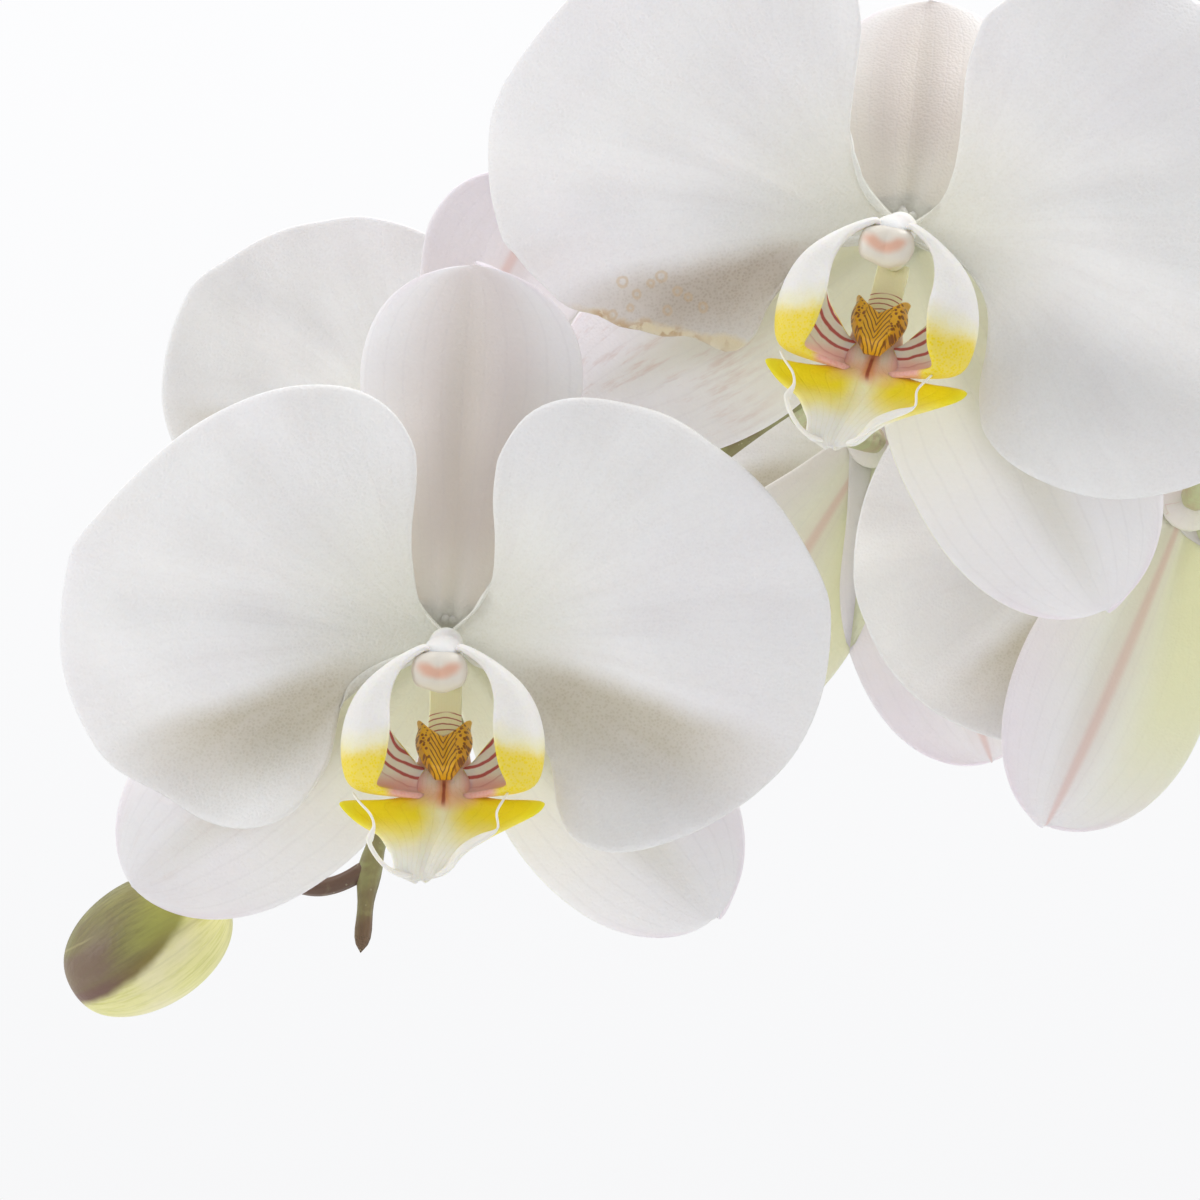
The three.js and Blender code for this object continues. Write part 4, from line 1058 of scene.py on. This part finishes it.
PETAL_SKIN = petal_finish("petal_skin", slope=0.34)
SCARRED_SKIN = petal_finish("scarred_petal_skin", slope=0.21, blemished=True)
SEPAL_SKIN = sepal_finish("sepal_skin", streaks=0.1)
STREAKED_SKIN = sepal_finish("streaked_sepal_skin", streaks=0.5)
STEM_SKIN = stalk_finish("stem_skin", "8b8c5c", "77604a", "9fa06c", 0.42)
BUD_STALK_SKIN = stalk_finish("bud_stalk_skin", "86785c", "6a5346", "948a68", 0.85)
PEDICEL_SKIN = stalk_finish("pedicel_skin", "b7be8b", "b9927c", "d3d6ae", 0.2)
LOBE_OUTSIDE = side_lobe_outer_finish()
LOBE_INSIDE = side_lobe_inner_finish()
MIDDLE_SKIN = middle_lobe_finish()
TENDRIL_SKIN = tendril_finish()


def petals_model(form):
    left, right, _ = FORMS[form]
    torn = form == "turned"
    blades = [
        petal(form + "_left", left, lift=0.95, phase=0.4, torn=torn),
        petal(form + "_right", right, lift=1.2, phase=2.1, torn=False),
    ]
    return dressed(joined(form + "_petals", blades), SCARRED_SKIN if torn else PETAL_SKIN)


def sepals_model(form):
    blades = [
        sepal(f"{form}_sepal_{i}", stations, angle, size, i * 1.9, pinched)
        for i, (stations, angle, size, pinched) in enumerate(FORMS[form][2])
    ]
    piece = joined(form + "_sepals", blades + [hub(form + "_hub")])
    mark_backs(piece)
    return dressed(piece, STREAKED_SKIN if form == "turned" else SEPAL_SKIN)


def lip_model():
    lobes = [dressed(middle_lobe("middle_lobe"), MIDDLE_SKIN)]
    for side in (-1, 1):
        sheet = dressed(side_lobe(f"side_lobe_{side + 1}", side), LOBE_OUTSIDE, LOBE_INSIDE)
        lobes.append(smoothed(sheet, LOBE_THICKNESS, 1))
        lobes.append(dressed(tendril(f"tendril_{side + 1}", side), TENDRIL_SKIN))
    return joined("lip_model", lobes)


def column_model():
    body = dressed(column_body("column_body"), column_finish())
    cap = dressed(anther_cap("anther_cap"), anther_finish())
    return joined("column_model", [body, cap])


models = {}
for form in FORMS:
    models[form + "_petals"] = petals_model(form)
    models[form + "_sepals"] = sepals_model(form)
models["lip"] = lip_model()
models["column"] = column_model()
models["callus"] = dressed(callus_form("callus_model"), callus_finish())

SPIKE_ROUTE = [
    (3, -12, 104), (4, -17, 128), (6, -17.5, 165), (10, -15, 215), (15, -10, 270), (19, -6, 325),
    (19, -5, 375), (13, -5, 420), (0, -5, 453), (-19, -6, 473), (-43, -7, 481), (-70, -7, 479),
    (-97, -7, 471), (-121, -8, 459.5), (-146, -9, 439), (-164, -12, 417), (-174.6, -19, 403),
    (-176.9, -25, 387.3),
]
spike_course = Course(SPIKE_ROUTE)


# Shares along the spike: joints below the blooms and above them, and a sheath's start before a bloom's
LOWER_JOINTS = [0.16, 0.33, 0.5]
TIP_JOINT = 0.958
SHEATH_LEAD = 0.014
SHEATH_THICKNESS = 0.35
SPIKE_FOOT_RADIUS = 3.1
SPIKE_TIP_RADIUS = 1.15
STALK_PULL = 13
STALK_HEAD_RADIUS = 2.05
HUB_DEPTH = 3.5


def spike_radius(share):
    return SPIKE_FOOT_RADIUS + (SPIKE_TIP_RADIUS - SPIKE_FOOT_RADIUS) * share


def stalk(name, joint, end, arriving, finish, thin=1.55, collar=0.5):
    """A stalk that leaves the spike at a joint and arrives at the back of a bloom or bud."""
    share = np.array([joint])
    start = spike_course.at(share)[0]
    leaving = unit(unit(end - start) + spike_course.heading(share)[0] * 0.5)
    near_start = start + leaving * STALK_PULL
    near_end = end - arriving * STALK_PULL
    t = np.linspace(0, 1, 9)[:, None]
    dots = start * (1 - t) ** 3 + 3 * near_start * t * (1 - t) ** 2
    dots = dots + 3 * near_end * t ** 2 * (1 - t) + end * t ** 3

    def radius(share):
        return thin + (STALK_HEAD_RADIUS - thin) * smooth(0.4, 1, share) + collar * bell(share, 0.08)

    def swell(angle, share):
        return 1 + 0.05 * np.cos(6 * angle + share * 5)

    piece = smoothed(tube(name, Course(dots), 18, 36, radius, swell))
    return dressed(piece, finish)


for name, form, at, yaw, pitch, roll, turn, rise, throat_yaw, size, joint in BLOOMS:
    stand = Matrix.Translation(Vector(at) * MM) @ spun(90 + pitch, 0, yaw) @ Matrix.Scale(size, 4)
    face = stand @ spun(0, 0, roll)
    throat = face @ Matrix.Translation((0, rise * MM, 0)) @ spun(0, throat_yaw, turn)
    wanted = (
        ("petals", form + "_petals", "petal_blades", face, "petal_white"),
        ("sepals", form + "_sepals", "sepal_blades", face, "sepal_white"),
        ("lip", "lip", "lip_lobes", throat, "lip_yellow"),
        ("column", "column", "column_and_cap", throat, "column_white"),
        ("callus", "callus", "callus_plate", throat, "callus_ochre"),
    )
    for node, model, piece_name, matrix, slot in wanted:
        piece = placed(copied(models[model], f"{name}_{piece_name}"), matrix)
        settled(piece, slot, f"{name}_{node}")
    back = np.array(stand @ Vector((0, 0, -HUB_DEPTH * MM))) / MM
    facing = unit(np.array(stand.to_3x3() @ Vector((0, 0, 1))))
    piece = stalk(f"{name}_stalk", joint, back, facing, PEDICEL_SKIN)
    settled(piece, "pedicel_green", f"{name}_pedicel")

for model in models.values():
    bpy.data.objects.remove(model)


# Bud

BUD_JOINT = 0.9795
BUD_RADII = (8.4, 8, 11.6)
BUD_AXIS = Vector((-math.sin(math.radians(58)), -0.05, -math.cos(math.radians(58)))).normalized()


def bud_form():
    turn = np.array(Vector((0, 0, 1)).rotation_difference(BUD_AXIS).to_matrix())

    def place(u, v):
        angle = u * 2 * math.pi
        polar = v * math.pi
        seam = sum(bell(np.angle(np.exp(1j * (angle - a))), 0.07) for a in (0.5, 2.6, 4.7))
        seam = seam * smooth(0, 0.3, v)
        wide = np.sin(polar) ** 0.9 * (1 - 0.035 * seam + 0.02 * np.cos(3 * angle - 1.2))
        along = -np.cos(polar)
        tip = smooth(0.8, 1, v)
        dots = stack(BUD_RADII[0] * wide * np.cos(angle), BUD_RADII[1] * wide * np.sin(angle),
                     BUD_RADII[2] * along * (1 - 0.015 * tip))
        return dots @ turn.T + BUD_AT, stack(u, v, seam)

    return dressed(smoothed(closed(mapped("bud_egg", 48, 32, place))), bud_finish())


settled(bud_form(), "bud_skin", "bud")
bud_base = BUD_AT - np.array(BUD_AXIS) * (BUD_RADII[2] - 0.6)
bud_stalk = stalk("bud_stalk", BUD_JOINT, bud_base, np.array(BUD_AXIS), BUD_STALK_SKIN,
                  thin=1.15, collar=0.2)
settled(bud_stalk, "pedicel_green", "bud_pedicel")


# Flower spike, with a sheath at each joint

def bract(name, share):
    """A dry sheath around the spike, longer on one side."""
    middle = spike_course.at(np.array([share]))[0]
    ahead = spike_course.heading(np.array([share]))[0]

    def place(u, v):
        angle = u * 2 * math.pi
        length = 4.2 + 4.6 * smooth(-0.6, 1, np.sin(angle)) ** 1.5
        flare = 1.1 * v ** 2 * (0.4 + 0.6 * smooth(-1, 1, np.sin(angle)))
        wide = spike_radius(share) - 0.1 + 0.25 * smooth(0, 0.15, v) + flare
        run = v * length - 4
        return ring(middle, ahead, angle, wide) + ahead * run[:, None], stack(u, v, 0)

    return smoothed(closed(mapped(name, 20, 8, place)), SHEATH_THICKNESS)


def spike_form():
    joints = LOWER_JOINTS + [bloom[-1] - SHEATH_LEAD for bloom in BLOOMS] + [TIP_JOINT]

    def radius(share):
        knots = sum(bell(share - joint, 0.006) for joint in joints)
        tip = 0.6 * bell(share - 0.9805, 0.004) - 0.2 * smooth(0.983, 0.987, share)
        tip = tip + 0.5 * bell(share - 0.9955, 0.003)
        return spike_radius(share) + 0.35 * knots + tip

    def swell(angle, share):
        return 1 + 0.02 * np.cos(5 * angle + 3) + 0.015 * np.sin(share * 90)

    stem = smoothed(tube("stem", spike_course, 20, 240, radius, swell))
    sheaths = [bract(f"sheath_{i}", joint) for i, joint in enumerate(joints)]
    return dressed(joined("spike_and_sheaths", [stem] + sheaths), STEM_SKIN)


settled(spike_form(), "spike_green", "flower_spike")


# Leaves: name, turn, height, length, width, rise, droop
LEAVES = [
    ("leaf_1", 176, 118, 196, 74, 24, 34), ("leaf_2", -4, 122, 204, 76, 26, 32),
    ("leaf_3", 188, 132, 178, 70, 44, 22), ("leaf_4", 9, 137, 182, 72, 47, 20),
    ("leaf_5", 170, 146, 140, 58, 54, 0), ("leaf_6", 14, 157, 98, 44, 72, -32),
]
LEAF_STEPS = 240
LEAF_START = 0.012
LEAF_BASE_HALF = 8.5


def leaf(name, turn, height, length, width, rise, droop, finish):
    """A strap leaf: folded and narrow at the crown, widest past its middle, round at the tip."""
    shares = np.linspace(0, 1, LEAF_STEPS + 1)
    angles = np.radians(rise - (rise + droop) * shares)
    middles = (shares[:-1] + shares[1:]) / 2
    middle_angles = np.radians(rise - (rise + droop) * middles)
    run = 4 + np.concatenate([[0], np.cumsum(np.cos(middle_angles))]) * length / LEAF_STEPS
    climb = np.concatenate([[0], np.cumsum(np.sin(middle_angles))]) * length / LEAF_STEPS
    spin = math.radians(turn)

    def place(u, v):
        share = LEAF_START + (1 - LEAF_START) * v
        top = u < 0.5
        offset = np.where(top, 4 * u - 1, 3 - 4 * u)
        swell = LEAF_BASE_HALF + (width / 2 - LEAF_BASE_HALF) * smooth(-0.1, 0.6, share)
        past = np.maximum(0, (share - 0.6) / 0.4)
        half = swell * np.sqrt(np.clip(1 - past ** 2.4, 0, 1)) * smooth(-0.03, 0.03, share)
        fold = 0.1 + 0.75 * (1 - smooth(0, 0.45, share))
        thick = (1.1 + 1.5 * (1 - np.abs(offset))) * np.minimum(1, half / 6)
        wave = 0.8 * np.sin(share * 11 + turn) * offset * smooth(0.2, 0.5, share)
        gutter = -0.9 * bell(offset, 0.05) * smooth(0.95, 0.7, share) * np.minimum(1, half / 6)
        lift = fold * half * np.abs(offset) + wave + gutter - np.where(top, 0, thick)
        angle = np.interp(share, shares, angles)
        x = np.interp(share, shares, run) - np.sin(angle) * lift
        z = np.interp(share, shares, climb) + np.cos(angle) * lift
        y = offset * half
        cos, sin = math.cos(spin), math.sin(spin)
        dots = stack(x * cos - y * sin, x * sin + y * cos, z + height)
        return dots, stack(offset, share, np.where(top, 0.0, 1.0))

    piece = smoothed(closed(mapped(name + "_blade", 48, 40, place)))
    settled(dressed(piece, finish), "leaf_green", name)


leaf_skin = leaf_finish()
for measures in LEAVES:
    leaf(*measures, leaf_skin)


# Roots, crown, bark and pot

ROOTS = {
    "root_1": [(-3, -3, 112), (-13, -18, 120), (-28, -37, 130), (-41, -54, 128), (-49, -65, 108),
               (-51, -67, 78)],
    "root_2": [(3, -3, 108), (20, -12, 116), (38, -20, 122), (44, -22, 114), (44, -21, 96)],
    "root_3": [(2, 3, 112), (14, 20, 121), (30, 40, 130), (41, 54, 127), (47, 63, 108), (46, 64, 86)],
    "root_4": [(-3, 3, 108), (-16, 16, 117), (-32, 26, 122), (-39, 29, 113), (-39, 29, 96)],
}


def root(name, path, finish):
    def radius(share):
        return 2.6 * (1 - 0.25 * share) + 0.12 * np.sin(share * 31) + 0.08 * np.sin(share * 77 + 1)

    def swell(angle, share):
        return 1 + 0.03 * np.cos(3 * angle + share * 12)

    piece = smoothed(tube(name + "_cord", Course(path), 16, 70, radius, swell))
    settled(dressed(piece, finish), "root_skin", name)


root_skin = root_finish()
for name, path in ROOTS.items():
    root(name, path, root_skin)


def lathe(name, columns, profile, squash=1.0):
    """A turned form from a profile of (radius, height), with a row at each point."""
    radii, heights = np.array(profile, float).T

    def place(u, v):
        angle = u * 2 * math.pi
        line = v * (len(profile) - 1)
        wide = np.interp(line, range(len(profile)), radii)
        high = np.interp(line, range(len(profile)), heights)
        return stack(wide * np.cos(angle), wide * np.sin(angle) * squash, high), stack(u, v, 0)

    return closed(mapped(name, columns, len(profile) - 1, place))


def rounded(profile, radius, steps=4):
    """The profile with each corner between two sides cut to an arc."""
    points = [np.array(p, float) for p in profile]
    result = [points[0]]
    for before, corner, after in zip(points, points[1:], points[2:]):
        reach = min(radius, np.linalg.norm(before - corner) * 0.45, np.linalg.norm(after - corner) * 0.45)
        start = corner + (before - corner) / np.linalg.norm(before - corner) * reach
        end = corner + (after - corner) / np.linalg.norm(after - corner) * reach
        for i in range(steps + 1):
            t = i / steps
            result.append(start * (1 - t) ** 2 + corner * 2 * t * (1 - t) + end * t ** 2)
    return result + [points[-1]]


CROWN_PROFILE = [(0, 94), (6, 95), (9.5, 104), (9.5, 128), (8, 146), (6, 160), (0, 166)]
crown = smoothed(lathe("crown_stem", 32, rounded(CROWN_PROFILE, 4), 0.8))
crown_skin = stalk_finish("crown_skin", "7f9455", "8a7a50", "94a565", 0.2)
settled(dressed(crown, crown_skin), "crown_green", "crown")

POT_PROFILE = [
    (0, 0), (44, 0), (46, 2), (61, 105), (66, 109), (66, 120.5), (64.5, 122), (63, 122), (62, 121),
    (62, 111), (57, 105), (42, 6), (0, 6),
]


pot = lathe("pot_body", 96, rounded(POT_PROFILE, 2.2))
activate(pot)
bpy.ops.object.shade_smooth_by_angle(angle=math.radians(40))
settled(dressed(pot, pot_finish()), "pot_glaze", "pot")


# A chip's uncut middle, how much its corners are cut, and how far its dots are shifted
CHIP_MIDDLE = 0.42
CHIP_CUT = 0.7
CHIP_SHIFT = 0.055


def chip(name, seed):
    """One bark chip: a split slab with broken edges."""
    draw = random.Random(seed)
    bare()
    bpy.ops.mesh.primitive_cube_add(size=1)
    piece = bpy.context.object
    piece.name = name
    bpy.ops.object.mode_set(mode="EDIT")
    bpy.ops.mesh.subdivide(number_cuts=3)
    bpy.ops.object.mode_set(mode="OBJECT")
    shifts = {}
    for vertex in piece.data.vertices:
        key = tuple(round(c, 3) for c in vertex.co)
        shifts[key] = shifts.get(key) or Vector([draw.uniform(-1, 1) for _ in range(3)])
        flat = Vector((vertex.co.x, vertex.co.y, 0))
        vertex.co -= flat * max(0.0, flat.length - CHIP_MIDDLE) * CHIP_CUT
        vertex.co += shifts[key] * CHIP_SHIFT
    write_field(piece.data, "blade", [0.0] * len(piece.data.vertices) * 3)
    bevel = piece.modifiers.new("worn", "BEVEL")
    bevel.width = 0.03
    bevel.segments = 1
    bevel.limit_method = "ANGLE"
    bevel.angle_limit = math.radians(50)
    bpy.ops.object.modifier_apply(modifier="worn")
    return piece


BARK_SEED = 7
CHIP_KINDS = 5
CHIP_COUNT = 150
BED_RADIUS = 51
GOLDEN_ANGLE = 2.39996
MOSS_SEED = 19
STRAND_COUNT = 90
RIM_REACH = 54


def bark_bed():
    """Chips of pine bark, laid flat over one another up to the rim, on a solid bed."""
    draw = random.Random(BARK_SEED)
    # The bed's side follows the pot's inner wall
    side = np.interp(98, (6, 105), (42, 57)) - 0.4
    bed_profile = [(0, 6.3), (41.7, 6.3), (side, 98), (48, 101), (0, 104)]
    pieces = [smoothed(lathe("bed", 64, rounded(bed_profile, 2)), levels=0)]
    kinds = [chip(f"chip_{i}", i) for i in range(CHIP_KINDS)]
    for i in range(CHIP_COUNT):
        reach = BED_RADIUS * math.sqrt((i + 0.5) / CHIP_COUNT)
        angle = i * GOLDEN_ANGLE + draw.uniform(-0.2, 0.2)
        size = draw.uniform(9, 19) * (1 if reach < 42 else 0.7)
        scale = Matrix.Diagonal((size, size * draw.uniform(0.5, 0.8), size * draw.uniform(0.22, 0.4), 1))
        turn = spun(draw.uniform(-24, 24), draw.uniform(-24, 24), draw.uniform(0, 360))
        high = draw.uniform(101, 110) - 3 * (reach / BED_RADIUS) ** 2
        at = Vector((reach * math.cos(angle), reach * math.sin(angle), high))
        piece = copied(kinds[i % CHIP_KINDS], f"laid_chip_{i}")
        piece.data.transform(Matrix.Scale(MM, 4) @ Matrix.Translation(at) @ turn @ scale)
        write_field(piece.data, "blade", [draw.random(), 0.0, 0.0] * len(piece.data.vertices))
        pieces.append(piece)
    for kind in kinds:
        bpy.data.objects.remove(kind)
    return dressed(joined("bark_chips", pieces), bark_finish())


settled(bark_bed(), "bark", "bark_mix")


def moss():
    """Loose strands of moss that lie between the chips."""
    draw = random.Random(MOSS_SEED)
    strands = []
    for i in range(STRAND_COUNT):
        reach = 50 * math.sqrt(draw.random())
        angle = draw.uniform(0, 2 * math.pi)
        heading = draw.uniform(0, 2 * math.pi)
        length = draw.uniform(9, 17)
        start = np.array((reach * math.cos(angle), reach * math.sin(angle), draw.uniform(107, 111)))
        dots = [start]
        for _ in range(4):
            heading += draw.uniform(-0.7, 0.7)
            step = np.array((math.cos(heading), math.sin(heading), draw.uniform(-0.35, 0.45)))
            dots.append(dots[-1] + step * length / 4)
        # Inside the rim
        pulls = [min(1, RIM_REACH / max(1, math.hypot(x, y))) for x, y, _ in dots]
        dots = [dot * (pull, pull, 1) for dot, pull in zip(dots, pulls)]
        strands.append(tube(f"strand_{i}", Course(dots), 5, 10, lambda share: 0.45 - 0.2 * share))
    piece = smoothed(joined("moss_strands", strands), levels=0)
    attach(piece, "root")
    return dressed(piece, moss_finish())


moss()


# Floor

bare()
bpy.ops.mesh.primitive_circle_add(vertices=96, radius=1.75, fill_type="NGON")
floor = bpy.context.object
floor.name = "pale_floor"
floor_finish = Finish("pale_floor", Roughness=0.9)
floor_finish.ground(floor_finish.noise(3, 2), "f3f3f3", "f6f6f6")
dressed(floor, floor_finish.wear())
